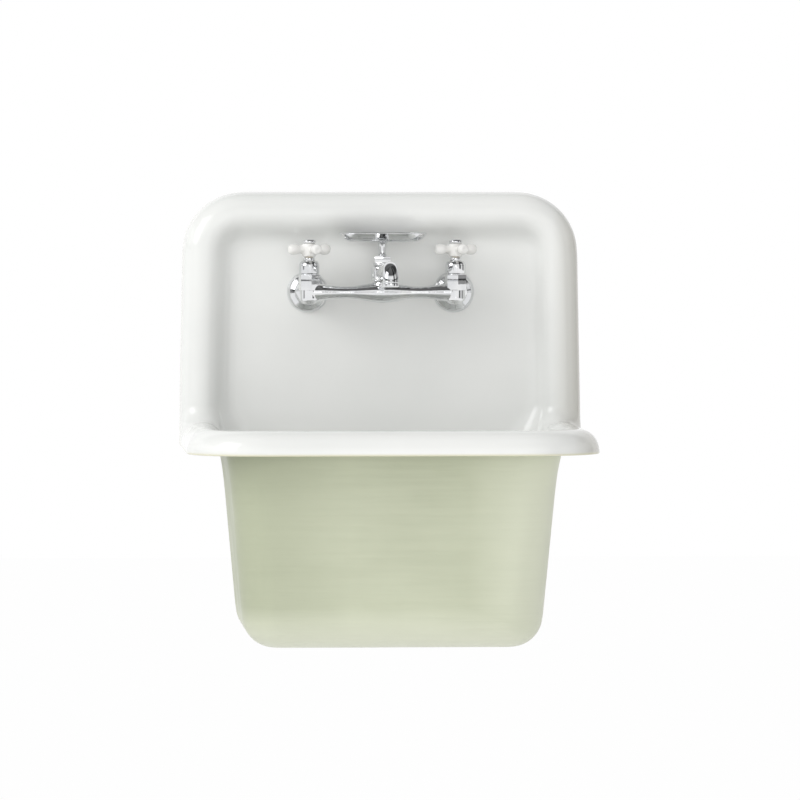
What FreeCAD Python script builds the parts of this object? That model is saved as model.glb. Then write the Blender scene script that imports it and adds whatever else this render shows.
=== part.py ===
import FreeCAD, Part
import math
import os

# A wall-hung utility basin: one enamelled iron casting with a high back and a rolled rim, hooked
# over an iron hanger, with a bridge tap on the back and a strainer in the floor.
# Millimetres. +X is to the right of someone who faces the basin, +Y goes into the wall and +Z is up.
# The origin is the centre of the hanger's back face, in the plane of the wall.

Vector = FreeCAD.Vector
RIGHT = Vector(1, 0, 0)
BACK = Vector(0, 1, 0)
UP = Vector(0, 0, 1)
FRONT = -BACK
DOWN = -UP
FULL_TURN = 360.0
QUARTER_TURN = 90.0
SIDES = {"hot": -1, "cold": 1}

# Clearances
overrun = 2.0
thread_gap = 0.1
fit_gap = 0.15
moving_gap = 0.4
touching = 0.001

# Flats that stand for the roundness of turned pieces, of the spout's bend, of the dish's corners
# and of the bowl's corners and lower edges
round_sides = 16
bend_steps = 4
dish_bends = 5
corner_flats = 6
edge_flats = 5

# Casting, over all
overall_width = 559.0
overall_depth = 457.0
splash_height = 319.0
bowl_height = 298.0
iron = 7.0
floor_iron = 8.0

# Rolled rim: its outer quarter, its inner quarter and the cove that runs out into the flat back
crest_reach = 55.0
roll_out = 30.0
rim_lip = 34.0
roll_in = 28.0
cove_radius = 25.0
panel_set_back = 25.0
panel_overlap = 4.0
splash_taper = 4.0
panel_corner_radius = 9.0
elbow_radius = 25.0
bowl_corner_radius = 47.0
bowl_draft_deg = 5.2
bowl_corner_spare = 1.5
bowl_join = 2.0

# Places on the casting
hanger_below_top = 69.0
tap_below_top = 139.0
tap_centres = 203.2
tap_hole_radius = 12.5
drain_from_wall = 150.0

# Hanger and the lugs that hook over it
hanger_width = 220.0
hanger_height = 50.0
hanger_iron = 4.0
hanger_hook_reach = 14.0
hanger_hook_rise = 11.0
hanger_hole_radius = 4.5
hanger_holes_across = 160.0
hanger_holes_up = 24.0
lug_width = 34.0
lug_centres = 120.0
lug_iron = 7.0
lug_root = 1.5
lug_tongue_drop = 9.0
lug_gap = 0.5

# Bell flange, supply shank and the union that holds the tap on
bell_radius = 29.0
bell_length = 18.0
bell_shoulder_radius = 25.5
bell_shoulder = 8.0
bell_nose_radius = 16.0
bell_wall = 3.0
shank_radius = 11.0
inlet_radius = 10.5
inlet_length = 12.0
inlet_relief_radius = 9.5
inlet_relief = 1.0
shank_bore_radius = 6.5
shank_end_from_wall = 2.0
shank_collar_radius = 13.0
shank_collar = 3.0
union_nut_flats = 32.0
union_nut_lip = 3.0
union_nut_length = 15.0
shank_nut_flats = 30.0
shank_nut_length = 7.0

# Tap body: heights are above the axis of the bridge
boss_radius = 13.2
boss_length = 24.0
valve_radius = 13.0
valve_top = 21.7
valve_belly = 13.5
valve_foot = 16.0
valve_foot_radius = 9.5
lower_chamber_radius = 7.0
lower_chamber_depth = 9.0
upper_chamber_radius = 9.5
seat_shelf = 3.0
seat_shelf_base = 3.0
bridge_middle_radius = 15.0
bridge_thin_radius = 8.5
bridge_end_radius = 12.0
bridge_middle = 15.0
bridge_end = 84.0
bridge_hollow = 0.35
bridge_bore_radius = 3.8
bridge_bore_rise = 9.5
hub_radius = 13.0
hub_top = 15.3
post_radius = 9.0
post_bore_radius = 4.5
post_thread_radius = 7.0
post_thread_length = 9.0
ring_groove_depth = 1.4
ring_groove_height = 2.4
port_radius = 3.0

# Headpart of each valve
seat_radius = 7.5
seat_bore_radius = 4.5
seat_height = 4.0
seat_washer_radius = 5.9
seat_washer_thick = 2.5
plunger_flats = 11.6
plunger_length = 10.5
plunger_floor = 1.2
valve_lead = 2.5
valve_turns = 1.5
spindle_thread_radius = 4.0
spindle_collar_radius = 6.6
spindle_collar_height = 3.3
spindle_radius = 5.0
spindle_square = 6.4
spindle_tip = 12.3
bonnet_tube = 7.5
bonnet_radius = 14.3
bonnet_height = 22.0
bonnet_crown = 2.4
bonnet_crown_radius = 12.0
gland_radius = 7.7
gland_depth = 5.2
packing_height = 2.4
packing_nut_radius = 8.2
packing_nut_rise = 5.3

# Cross handle
handle_hub_radius = 10.2
handle_hub_height = 18.7
arm_height = 10.3
arm_reach = 31.0
arm_profile = [(5.4, 0), (4.8, 14.5), (6.8, 17.5), (7.6, 21.5), (7.0, 27.0), (4.8, arm_reach)]
arm_sides = 8
handle_arms = 4
handle_turn_deg = 20.0
recess_radius = 7.0
recess_depth = 6.5
screw_head_radius = 4.4
screw_head_height = 2.6
screw_radius = 1.9
screw_length = 8.5
cap_radius = 9.5
cap_skirt = 3.0
cap_rim = 4.6
cap_top_radius = 7.4
cap_dome = 1.6

# Swing spout
collar_radius = 15.5
collar_height = 21.4
spout_radius = 10.2
spout_bore_radius = 8.2
spout_reach = 203.0
spout_rise_deg = 2.5
spout_crest = 34.0
spout_bend_radius = 15.0
spout_thread_radius = 9.4
spout_thread_length = 5.0
aerator_radius = 11.4
aerator_height = 9.0
aerator_lip = 2.0
aerator_lip_radius = 8.0
screen_thick = 2.0
spout_nut_skirt_radius = 13.0
spout_nut_skirt = 3.7
spout_nut_flats = 22.0
spout_nut_height = 12.2

# Soap dish on its post
dish_post_radius = 4.75
dish_stub_radius = 4.0
dish_post_height = 20.0
dish_length = 123.0
dish_width = 78.0
dish_height = 12.7
dish_wall = 2.0
dish_corner_radius = 34.0
dish_draft_deg = 24.0
dish_slot_width = 5.0
dish_slot_length = 44.0
dish_slot_pitch = 15.0
dish_slots = 4
dish_screw_radius = 4.0
dish_screw_head = 1.8
dish_screw_shank_radius = 1.9
dish_screw_length = 12.0

# Strainer in the floor
strainer_flange_radius = 40.0
strainer_flange = 2.5
strainer_radius = 30.0
strainer_below = 8.5
strainer_seat_radius = 26.0
strainer_seat_depth = 2.0
strainer_bore_radius = 22.0
drain_hole_gap = 1.0
floor_gasket_thick = 1.5
floor_gasket_inset = 1.5
fibre_washer_thick = 2.0
fibre_washer_radius = 38.0
drain_nut_flats = 76.0
drain_nut_height = 5.5
grid_slots = 5
grid_slot_width = 4.5
grid_pitch = 8.0

# Levels and lines that follow from those sizes
top_z = hanger_below_top
crown_z = top_z - splash_height
under_z = crown_z - bowl_height
floor_z = under_z + floor_iron
crest_y = -crest_reach
panel_y = crest_y + panel_set_back
panel_back_y = panel_y + iron
crown_x = overall_width / 2 - roll_out
front_crown_y = roll_out - overall_depth
cove_angle = math.acos(1 - panel_set_back / (roll_in + cove_radius))
cove_width = (roll_in + cove_radius) * math.sin(cove_angle)
draft = math.radians(bowl_draft_deg)
join_depth = roll_in + bowl_join
crest_corner_radius = panel_corner_radius + cove_width
plan_crown_radius = bowl_corner_radius + roll_in
elbow_z = crown_z + elbow_radius
elbow_y = crest_y - elbow_radius
tap_z = top_z - tap_below_top
union_face = bell_length + union_nut_lip + shank_collar
tap_y = panel_y - union_face - boss_length
drain = Vector(0, -drain_from_wall, 0)
drain_hole_radius = strainer_radius + drain_hole_gap


def line(a, b):
    return ("line", a, b)


def arc(a, middle, b):
    return ("arc", a, middle, b)


def outlined(steps, place):
    """A flat face inside a closed run of lines and arcs, each point of which place() puts in space."""
    edges = []
    for step in steps:
        points = [place(p) for p in step[1:]]
        if step[0] == "line":
            edges.append(Part.LineSegment(*points).toShape())
        else:
            edges.append(Part.Arc(*points).toShape())
    return Part.Face(Part.Wire(edges))


def polygon(points):
    return Part.Face(Part.makePolygon(points + points[:1]))


def section_at(crest, outward, behind):
    """Puts a section point (distance out from the crest, depth behind it) in space."""
    return lambda p: crest + outward * p[0] + behind * p[1]


def round_rod(radius, low, high, centre, axis):
    """A truly round bar, for walls that another maker's piece fits and for holes."""
    return Part.makeCylinder(radius, high - low, centre + axis * low, axis)


def regular(sides, radius, centre, aside, across):
    """The corners of a regular outline round a circle; one of its flats faces aside."""
    corner = radius / math.cos(math.pi / sides)
    angles = [math.pi * (2 * k + 1) / sides for k in range(sides)]
    return [centre + aside * corner * math.cos(a) + across * corner * math.sin(a) for a in angles]


def skinned(outlines):
    """The solid inside the flat faces that join each outline to the next, and the last to the first."""
    faces = []
    for low, high in zip(outlines, outlines[1:] + outlines[:1]):
        for k in range(len(low)):
            corners = [low[k - 1], low[k], high[k], high[k - 1]]
            apart = [c for i, c in enumerate(corners) if (c - corners[i - 1]).Length > touching]
            if len(apart) > 2:
                faces.append(polygon(apart))
    solid = Part.Solid(Part.Shell(faces))
    if solid.Volume < 0:
        solid.reverse()
    return solid.removeSplitter()


def turned(profile, centre, axis, sides=round_sides):
    """A turned piece, drawn with flats from a closed profile of (radius, height) points."""
    aside = RIGHT if abs(axis.dot(RIGHT)) == 0 else UP
    across = axis.cross(aside)
    return skinned([regular(sides, r, centre + axis * h, aside, across) for r, h in profile])


def rod(radius, low, high, centre, axis):
    return turned([(0, low), (radius, low), (radius, high), (0, high)], centre, axis)


def tube(outer, inner, low, high, centre, axis):
    return turned([(inner, low), (outer, low), (outer, high), (inner, high)], centre, axis)


def prism(sides, flats, low, high, centre, axis):
    """A bar with regular flats; one of them faces along X, or along Z on a bar that lies in X."""
    return turned([(0, low), (flats / 2, low), (flats / 2, high), (0, high)], centre, axis, sides)


def box(x, y, z):
    """A block between two limits along each axis."""
    return Part.makeBox(x[1] - x[0], y[1] - y[0], z[1] - z[0], Vector(x[0], y[0], z[0]))


def mirrored(shapes):
    return [shape.mirror(Vector(0, 0, 0), RIGHT) for shape in shapes]


def joined(shapes):
    return shapes[0].fuse(shapes[1:]).removeSplitter()


def save(name, shape):
    if shape.ShapeType == "Compound" and len(shape.Solids) == 1:
        shape = shape.Solids[0]
    shape.exportStep("parts/" + name + ".step")


def on_arc(centre, radius, angle):
    """A section point on an arc, at an angle from the crest towards the middle of the basin."""
    return (centre[0] - radius * math.sin(angle), centre[1] - radius * math.cos(angle))


# The section of the roll: the outer quarter, shared by the back and the rim
def roll_outside(lip):
    centre = (0, roll_out)
    corner = (roll_out, roll_out)
    inner_corner = (roll_out - iron, roll_out)
    outer = [arc((0, 0), on_arc(centre, roll_out, -math.pi / 4), corner), line(corner, (roll_out, lip))]
    hidden = [line((roll_out, lip), (roll_out - iron, lip)), line((roll_out - iron, lip), inner_corner),
              line(inner_corner, (0, iron))]
    return outer + hidden


def splash_section(lip):
    """Crest, S-shaped cove and a strip of the flat back, with the hidden side in straight runs."""
    crest = (0, roll_in)
    cove = (-cove_width, panel_set_back - cove_radius)
    half = cove_angle / 2
    flat_end = (-cove_width - panel_overlap, panel_set_back)
    cove_end = (-cove_width, panel_set_back)
    change = on_arc(crest, roll_in, cove_angle)
    cove_middle = (cove[0] + cove_radius * math.sin(half), cove[1] + cove_radius * math.cos(half))
    back_level = panel_set_back + iron
    back_corner = (-cove_width + (cove_radius + iron) * math.tan(half), back_level)
    back_end = (flat_end[0], back_level)
    inner = [line(flat_end, cove_end), arc(cove_end, cove_middle, change),
             arc(change, on_arc(crest, roll_in, half), (0, 0))]
    hidden = [line((0, iron), back_corner), line(back_corner, back_end), line(back_end, flat_end)]
    return inner + roll_outside(lip) + hidden


def wall_line(radius):
    """Where the bowl's wall leaves the inner quarter of the given radius, and where it is cut off."""
    leave = on_arc((0, roll_in), radius, math.pi / 2 - draft)
    return leave, (leave[0] - math.tan(draft) * (join_depth - leave[1]), join_depth)


def rim_section():
    """Crest and the start of the bowl's drafted wall."""
    crest = (0, roll_in)
    half = (math.pi / 2 - draft) / 2
    leave, end = wall_line(roll_in)
    back_leave, back_end = wall_line(roll_in - iron)
    inner = [line(end, leave), arc(leave, on_arc(crest, roll_in, half), (0, 0))]
    hidden = [line((0, iron), back_leave), line(back_leave, back_end), line(back_end, end)]
    return inner + roll_outside(rim_lip) + hidden


# The casting
def back_roll():
    """The roll up one side of the back, round its top corner and along half of its top."""
    corner_z = top_z - roll_out - crest_corner_radius
    corner_x = crown_x - splash_taper - crest_corner_radius
    pivot = Vector(corner_x, crest_y, corner_z)
    section = splash_section(crest_reach)
    foot = Vector(crown_x, crest_y, elbow_z)
    side = outlined(section, section_at(foot, RIGHT, BACK)).extrude(
        Vector(-splash_taper, 0, corner_z - elbow_z))
    start = pivot + RIGHT * crest_corner_radius
    corner = outlined(section, section_at(start, RIGHT, BACK)).revolve(pivot, FRONT, QUARTER_TURN)
    end = pivot + UP * crest_corner_radius
    top = outlined(section, section_at(end, UP, BACK)).extrude(Vector(-corner_x, 0, 0))
    return [side, corner, top]


def elbow():
    """Where the roll turns from upright to level, with the square side below it that meets the wall."""
    pivot = Vector(0, elbow_y, elbow_z)
    foot = Vector(crown_x, crest_y, elbow_z)
    bend = outlined(splash_section(rim_lip), section_at(foot, RIGHT, BACK)).revolve(
        pivot, -RIGHT, QUARTER_TURN)
    side = box((overall_width / 2 - iron, overall_width / 2), (elbow_y, 0), (crown_z - rim_lip, elbow_z))
    side = side.cut(Part.makeCylinder(elbow_radius + roll_out, overall_width, pivot, RIGHT))
    return [bend, side]


def rim_roll():
    """The roll along one side of the bowl, round its front corner and along half of its front."""
    section = rim_section()
    pivot = Vector(crown_x - plan_crown_radius, front_crown_y + plan_crown_radius, crown_z)
    side = outlined(section, section_at(Vector(crown_x, elbow_y, crown_z), RIGHT, DOWN)).extrude(
        Vector(0, pivot.y - elbow_y, 0))
    corner = outlined(section, section_at(pivot + RIGHT * plan_crown_radius, RIGHT, DOWN)).revolve(
        pivot, DOWN, QUARTER_TURN)
    front = outlined(section, section_at(pivot + FRONT * plan_crown_radius, FRONT, DOWN)).extrude(
        Vector(-pivot.x, 0, 0))
    return [side, corner, front]


def rounded(across, back_y, front_y, radius, z):
    """The corners of a level outline, symmetrical about X = 0, whose four corners are rounded in flats."""
    points = []
    for quarter, (right, y) in enumerate([(1, back_y), (-1, back_y), (-1, front_y), (1, front_y)]):
        inward = -1 if quarter < 2 else 1
        centre = Vector(right * (across - radius), y + inward * radius, z)
        for k in range(corner_flats + 1):
            angle = math.pi / 2 * (quarter + k / corner_flats)
            points.append(centre + RIGHT * radius * math.cos(angle) + BACK * radius * math.sin(angle))
    return points


def bucket(wall_offset, back_y, low, high, radius):
    """A drafted block with one radius on its upright and bottom edges, so its corners are balls."""
    def outline(z, inset):
        across = crown_x + wall_offset - math.tan(draft) * (crown_z - join_depth - z)
        front = front_crown_y + crown_x - across
        return lambda level: rounded(across - inset, back_y - inset, front + inset, radius - inset, level)
    turn_z = low + radius * (1 - math.sin(draft))
    outlines = [outline(high, 0)(high)]
    for k in range(edge_flats + 1):
        angle = draft + (math.pi / 2 - draft) * k / edge_flats
        inset = radius * (math.cos(draft) - math.cos(angle)) / math.cos(draft)
        outlines.append(outline(turn_z, inset)(low + radius * (1 - math.sin(angle))))
    ends = [[sum(ring, Vector()) / len(ring)] * len(ring) for ring in (outlines[0], outlines[-1])]
    return skinned([ends[0]] + outlines + [ends[1]])


def flat_back():
    """The flat plate of the back, down to the elbow."""
    bottom = crown_x - cove_width
    top = bottom - splash_taper
    level = top_z - roll_out - cove_width
    corners = [(-bottom, elbow_z), (bottom, elbow_z), (top, level), (-top, level)]
    return polygon([Vector(x, panel_y, z) for x, z in corners]).extrude(BACK * iron)


def bowl_back(half_width):
    """The block behind the elbows that the bowl's hollow leaves as its back wall and back corners."""
    block = box((-half_width, half_width), (elbow_y, panel_back_y), (crown_z - join_depth, elbow_z))
    scoop = Part.makeCylinder(elbow_radius + panel_set_back, overall_width,
                              Vector(-overall_width / 2, elbow_y, elbow_z), RIGHT)
    return block.cut(scoop)


def hanger_lugs():
    """Two lugs behind the roll of the back, whose tongues drop behind the hanger's hook."""
    seat = hanger_height / 2 + hanger_hook_rise
    back = -hanger_iron - lug_gap
    tongue_front = -hanger_hook_reach + hanger_iron + lug_gap
    crest_z = top_z - roll_out
    cove_back_z = crest_z - cove_width + (cove_radius + iron) * math.tan(cove_angle / 2)
    rooted = crest_y + iron - lug_root
    profile = [(rooted, crest_z), (rooted, seat + lug_iron), (back, seat + lug_iron),
               (back, seat - lug_tongue_drop), (tongue_front, seat - lug_tongue_drop),
               (tongue_front, seat), (panel_back_y, seat), (panel_back_y - lug_root, cove_back_z)]
    lugs = []
    for side in SIDES.values():
        start = side * lug_centres / 2 - lug_width / 2
        lug = polygon([Vector(start, y, z) for y, z in profile])
        lugs.append(lug.extrude(RIGHT * lug_width))
    return lugs


def sink_casting():
    half = back_roll() + elbow() + rim_roll()
    inner_offset = wall_line(roll_in)[1][0]
    outer_offset = wall_line(roll_in - iron)[1][0]
    ball = (plan_crown_radius + inner_offset) / math.cos(draft) + bowl_corner_spare
    outside = bucket(outer_offset, panel_back_y, under_z, crown_z - join_depth, ball + iron)
    hollow = bucket(inner_offset, panel_y, floor_z, elbow_z + overrun, ball)
    back_block = bowl_back(crown_x + outer_offset)
    casting = outside.fuse(half + mirrored(half) + [flat_back(), back_block] + hanger_lugs())
    casting = casting.cut(hollow)
    for side in SIDES.values():
        centre = Vector(side * tap_centres / 2, panel_back_y + overrun, tap_z)
        casting = casting.cut(round_rod(tap_hole_radius, 0, iron + 2 * overrun, centre, FRONT))
    casting = casting.cut(round_rod(drain_hole_radius, under_z - overrun, floor_z + overrun, drain, UP))
    return casting.removeSplitter()


def wall_hanger():
    half = hanger_width / 2
    top = hanger_height / 2
    hook_front = -hanger_hook_reach
    plate = box((-half, half), (-hanger_iron, 0), (-top, top))
    shelf = box((-half, half), (hook_front, -hanger_iron), (top - hanger_iron, top))
    lip = box((-half, half), (hook_front, hook_front + hanger_iron), (top, top + hanger_hook_rise))
    hanger = joined([plate, shelf, lip])
    for x in (-hanger_holes_across / 2, hanger_holes_across / 2):
        for z in (-hanger_holes_up / 2, hanger_holes_up / 2):
            centre = Vector(x, overrun, z)
            hanger = hanger.cut(round_rod(hanger_hole_radius, 0, hanger_iron + 2 * overrun, centre, FRONT))
    return hanger


# The tap's fixed pieces come in pairs, one behind each valve
def pair(make):
    """Both copies of a piece, each made about its own valve's axis on the face of the back."""
    return Part.makeCompound([make(side * tap_centres / 2) for side in SIDES.values()])


def on_panel(x):
    return Vector(x, panel_y, tap_z)


def bell_flange(x):
    bore = shank_radius + thread_gap
    profile = [(bell_radius, 0), (bell_shoulder_radius, bell_shoulder), (bell_nose_radius, bell_length),
               (bore, bell_length), (bore, bell_length - bell_wall), (bell_radius - bell_wall, 0)]
    return turned(profile, on_panel(x), FRONT)


def supply_shank(x):
    """A threaded tube with a collar for the union nut; its tail, past a relief, is the supply's thread."""
    collar_base = bell_length + union_nut_lip
    collar_top = collar_base + shank_collar
    end = panel_y + shank_end_from_wall
    tail = end + inlet_length
    body_end = tail + inlet_relief
    profile = [(0, tail), (inlet_relief_radius, tail), (inlet_relief_radius, body_end),
               (shank_radius, body_end), (shank_radius, collar_base),
               (shank_collar_radius, collar_base), (shank_collar_radius, collar_top), (0, collar_top)]
    shank = turned(profile, on_panel(x), FRONT).fuse(round_rod(inlet_radius, end, tail, on_panel(x), FRONT))
    return shank.cut(rod(shank_bore_radius, end - overrun, collar_top + overrun, on_panel(x), FRONT))


def union_nut(x):
    base = bell_length
    end = base + union_nut_length
    nut = prism(6, union_nut_flats, base, end, on_panel(x), FRONT)
    nut = nut.cut(rod(shank_radius + thread_gap, base - overrun, end + overrun, on_panel(x), FRONT))
    return nut.cut(rod(boss_radius + thread_gap, base + union_nut_lip, end + overrun, on_panel(x), FRONT))


def shank_nut(x):
    back = -iron - shank_nut_length
    nut = prism(6, shank_nut_flats, back, -iron, on_panel(x), FRONT)
    return nut.cut(rod(shank_radius + thread_gap, back - overrun, -iron + overrun, on_panel(x), FRONT))


# The tap's body: two valve barrels, the bridge between them and the hub that the spout turns on
def on_tap(x):
    return Vector(x, tap_y, tap_z)


seat_face = seat_shelf_base + seat_height
chamber_floor = seat_shelf_base + seat_shelf
valve_lift = valve_lead * valve_turns
collar_low = hub_top + moving_gap
collar_top = collar_low + collar_height
post_top = collar_top + moving_gap
ring_z = collar_top - 2 * ring_groove_height


def valve_barrel(x):
    barrel = rod(valve_radius, -valve_belly, valve_top, on_tap(x), UP)
    foot = rod(valve_foot_radius, -valve_foot, -valve_belly, on_tap(x), UP)
    return barrel.fuse([foot, rod(boss_radius, 0, boss_length, on_tap(x), BACK)])


def valve_hollow(x):
    upper = rod(upper_chamber_radius, chamber_floor, valve_top + overrun, on_tap(x), UP)
    seat = rod(seat_radius, seat_shelf_base - overrun, chamber_floor + overrun, on_tap(x), UP)
    lower = rod(lower_chamber_radius, -lower_chamber_depth, seat_shelf_base, on_tap(x), UP)
    inlet = rod(shank_bore_radius, 0, boss_length + overrun, on_tap(x), BACK)
    start = on_tap(x - math.copysign(upper_chamber_radius - port_radius, x)) + UP * bridge_bore_rise
    run = on_tap(0) - start
    bridge = Part.makeCylinder(bridge_bore_radius, run.Length, start, run)
    return [upper, seat, lower, inlet, bridge]


def bridge_arm(side):
    """Half of the bridge: a full middle that thins and then swells again into the valve's barrel."""
    out = RIGHT * side
    thin = (bridge_middle + bridge_end) / 2
    waist = bridge_thin_radius + (bridge_middle_radius - bridge_thin_radius) * bridge_hollow
    flare = bridge_thin_radius + (bridge_end_radius - bridge_thin_radius) * bridge_hollow
    end = tap_centres / 2
    profile = [(0, 0), (bridge_middle_radius, 0), (bridge_middle_radius, bridge_middle),
               (waist, (bridge_middle + thin) / 2), (bridge_thin_radius, thin),
               (flare, (thin + bridge_end) / 2), (bridge_end_radius, bridge_end), (bridge_end_radius, end),
               (0, end)]
    return turned(profile, on_tap(0), out)


def hub_post():
    inner = post_radius - ring_groove_depth
    groove_top = ring_z + ring_groove_height
    thread_top = post_top + post_thread_length
    profile = [(0, 0), (hub_radius, 0), (hub_radius, hub_top), (post_radius, hub_top),
               (post_radius, ring_z), (inner, ring_z), (inner, groove_top), (post_radius, groove_top),
               (post_radius, post_top), (post_thread_radius, post_top), (post_thread_radius, thread_top),
               (0, thread_top)]
    return turned(profile, on_tap(0), UP)


def faucet_body():
    reach = tap_centres / 2
    solids = [hub_post()]
    hollows = []
    for side in SIDES.values():
        solids += [valve_barrel(side * reach), bridge_arm(side)]
        hollows += valve_hollow(side * reach)
    port_z = (collar_low + collar_top) / 2
    hollows.append(rod(post_bore_radius, 0, port_z + port_radius, on_tap(0), UP))
    hollows.append(rod(port_radius, 0, post_radius + overrun, on_tap(0) + UP * port_z, FRONT))
    return solids[0].fuse(solids[1:]).cut(hollows).removeSplitter()


# Headparts. Heights are above the axis of the bridge, from the seat upwards
washer_low = seat_face + moving_gap
plunger_low = washer_low + seat_washer_thick
plunger_top = plunger_low + plunger_length
thread_low = plunger_low + plunger_floor + valve_lift + moving_gap
collar_room_low = plunger_top + valve_lift + 2 * moving_gap
spindle_collar_low = collar_room_low + moving_gap
spindle_collar_top = spindle_collar_low + spindle_collar_height
collar_room_top = spindle_collar_top + moving_gap
bonnet_low = valve_top - bonnet_tube
bonnet_top = valve_top + bonnet_height
gland_floor = bonnet_top - gland_depth
packing_top = gland_floor + packing_height
packing_nut_top = bonnet_top + packing_nut_rise
handle_low = packing_nut_top + moving_gap
handle_top = handle_low + handle_hub_height
recess_floor = handle_top - recess_depth
square_low = recess_floor - spindle_tip
spindle_bore_radius = spindle_radius + moving_gap


def valve_seat(x):
    return tube(seat_radius, seat_bore_radius, seat_shelf_base, seat_face, on_tap(x), UP)


def bonnet(x):
    tube_radius = upper_chamber_radius - fit_gap
    room = spindle_collar_radius + moving_gap
    profile = [(tube_radius, bonnet_low), (tube_radius, valve_top), (bonnet_radius, valve_top),
               (bonnet_radius, bonnet_top - bonnet_crown),
               (bonnet_crown_radius, bonnet_top - bonnet_crown), (bonnet_crown_radius, bonnet_top),
               (gland_radius, bonnet_top), (gland_radius, gland_floor), (spindle_bore_radius, gland_floor),
               (spindle_bore_radius, collar_room_top), (room, collar_room_top), (room, collar_room_low),
               (0, collar_room_low), (0, bonnet_low)]
    keyway = prism(6, plunger_flats + 2 * moving_gap, bonnet_low - overrun, collar_room_low + moving_gap,
                   on_tap(x), UP)
    return turned(profile, on_tap(x), UP).cut(keyway)


def packing_ring(x):
    return tube(gland_radius - fit_gap, spindle_bore_radius, gland_floor, packing_top, on_tap(x), UP)


def packing_nut(x):
    thread = gland_radius - thread_gap
    profile = [(spindle_bore_radius, packing_top), (thread, packing_top), (thread, bonnet_top),
               (packing_nut_radius, bonnet_top), (packing_nut_radius, packing_nut_top),
               (spindle_bore_radius, packing_nut_top)]
    return turned(profile, on_tap(x), UP)


def seat_washer(x):
    return rod(seat_washer_radius, washer_low, plunger_low, on_tap(x), UP)


def plunger(x):
    """The keyed plunger: the spindle's thread lifts it without letting it turn."""
    bar = prism(6, plunger_flats, plunger_low, plunger_top, on_tap(x), UP)
    thread = spindle_thread_radius + moving_gap
    return bar.cut(rod(thread, plunger_low + plunger_floor, plunger_top + overrun, on_tap(x), UP))


def spindle(x):
    profile = [(0, thread_low), (spindle_thread_radius, thread_low),
               (spindle_thread_radius, spindle_collar_low), (spindle_collar_radius, spindle_collar_low),
               (spindle_collar_radius, spindle_collar_top), (spindle_radius, spindle_collar_top),
               (spindle_radius, square_low), (0, square_low)]
    tip = prism(4, spindle_square, square_low, recess_floor, on_tap(x), UP)
    tap_drill = rod(screw_radius + thread_gap, recess_floor - screw_length - overrun,
                    recess_floor + overrun, on_tap(x), UP)
    return joined([turned(profile, on_tap(x), UP), tip]).cut(tap_drill)


def cross_handle(x):
    """A porcelain cross: a round hub and four arms that thin at the neck and end in a ball."""
    handle = rod(handle_hub_radius, handle_low, handle_top, on_tap(x), UP)
    centre = on_tap(x) + UP * (handle_low + arm_height)
    arms = []
    for k in range(handle_arms):
        arm = turned([(0, 0)] + arm_profile + [(0, arm_reach)], centre, RIGHT, arm_sides)
        arm.rotate(centre, UP, handle_turn_deg + FULL_TURN / handle_arms * k)
        arms.append(arm)
    handle = handle.fuse(arms)
    recess = rod(recess_radius, recess_floor, handle_top + overrun, on_tap(x), UP)
    socket = prism(4, spindle_square + 2 * fit_gap, handle_low - overrun, recess_floor + overrun,
                   on_tap(x), UP)
    relief = rod(spindle_bore_radius, handle_low - overrun, square_low + fit_gap, on_tap(x), UP)
    return handle.cut([recess, socket, relief]).removeSplitter()


def handle_screw(x):
    profile = [(0, recess_floor - screw_length), (screw_radius, recess_floor - screw_length),
               (screw_radius, recess_floor), (screw_head_radius, recess_floor),
               (screw_head_radius, recess_floor + screw_head_height),
               (0, recess_floor + screw_head_height)]
    return turned(profile, on_tap(x), UP)


def index_cap(x):
    skirt = recess_radius - fit_gap
    rim_top = handle_top + cap_rim
    profile = [(0, handle_top - cap_skirt), (skirt, handle_top - cap_skirt), (skirt, handle_top),
               (cap_radius, handle_top), (cap_radius, rim_top), (cap_top_radius, rim_top),
               (cap_top_radius, rim_top + cap_dome), (0, rim_top + cap_dome)]
    return turned(profile, on_tap(x), UP)


# Swing spout
spout_tip_y = tap_y - spout_reach
bend_z = spout_crest - spout_bend_radius
spout_end_z = bend_z - spout_thread_length


def spout_tube(radius, start, end_z):
    """A tube that starts off the tap's axis, rises a little, bends down and ends at a level."""
    pivot = Vector(0, spout_tip_y + spout_bend_radius, tap_z + bend_z)

    def outline(angle, distance, along):
        outward = Vector(0, -math.sin(angle), math.cos(angle))
        return regular(round_sides, radius, pivot + outward * distance + along, RIGHT, outward)
    rise = -math.radians(spout_rise_deg)
    heading = Vector(0, math.cos(rise), math.sin(rise))
    run = (tap_y - start - pivot.y) / math.cos(rise)
    outlines = [outline(rise, spout_bend_radius, heading * run)]
    for k in range(bend_steps + 1):
        angle = rise + (math.pi / 2 - rise) * k / bend_steps
        outlines.append(outline(angle, spout_bend_radius, Vector()))
    outlines.append(outline(math.pi / 2, spout_bend_radius, UP * (end_z - bend_z)))
    middles = [[sum(ends, Vector()) / round_sides] * round_sides for ends in (outlines[0], outlines[-1])]
    return skinned([middles[0]] + outlines + [middles[1]])


def spout():
    tip = Vector(0, spout_tip_y, tap_z)
    collar = rod(collar_radius, collar_low, collar_top, on_tap(0), UP)
    thread = rod(spout_thread_radius, spout_end_z, bend_z, tip, UP)
    bore = spout_tube(spout_bore_radius, post_radius, spout_end_z - overrun)
    turning = rod(post_radius + moving_gap, collar_low - overrun, collar_top + overrun, on_tap(0), UP)
    outside = collar.fuse([spout_tube(spout_radius, 0, bend_z - touching), thread])
    return outside.cut([bore, turning]).removeSplitter()


def spout_ring():
    inner = post_radius - ring_groove_depth
    return tube(post_radius + fit_gap, inner, ring_z, ring_z + ring_groove_height, on_tap(0), UP)


spout_nut_top = post_top + spout_nut_height


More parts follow.
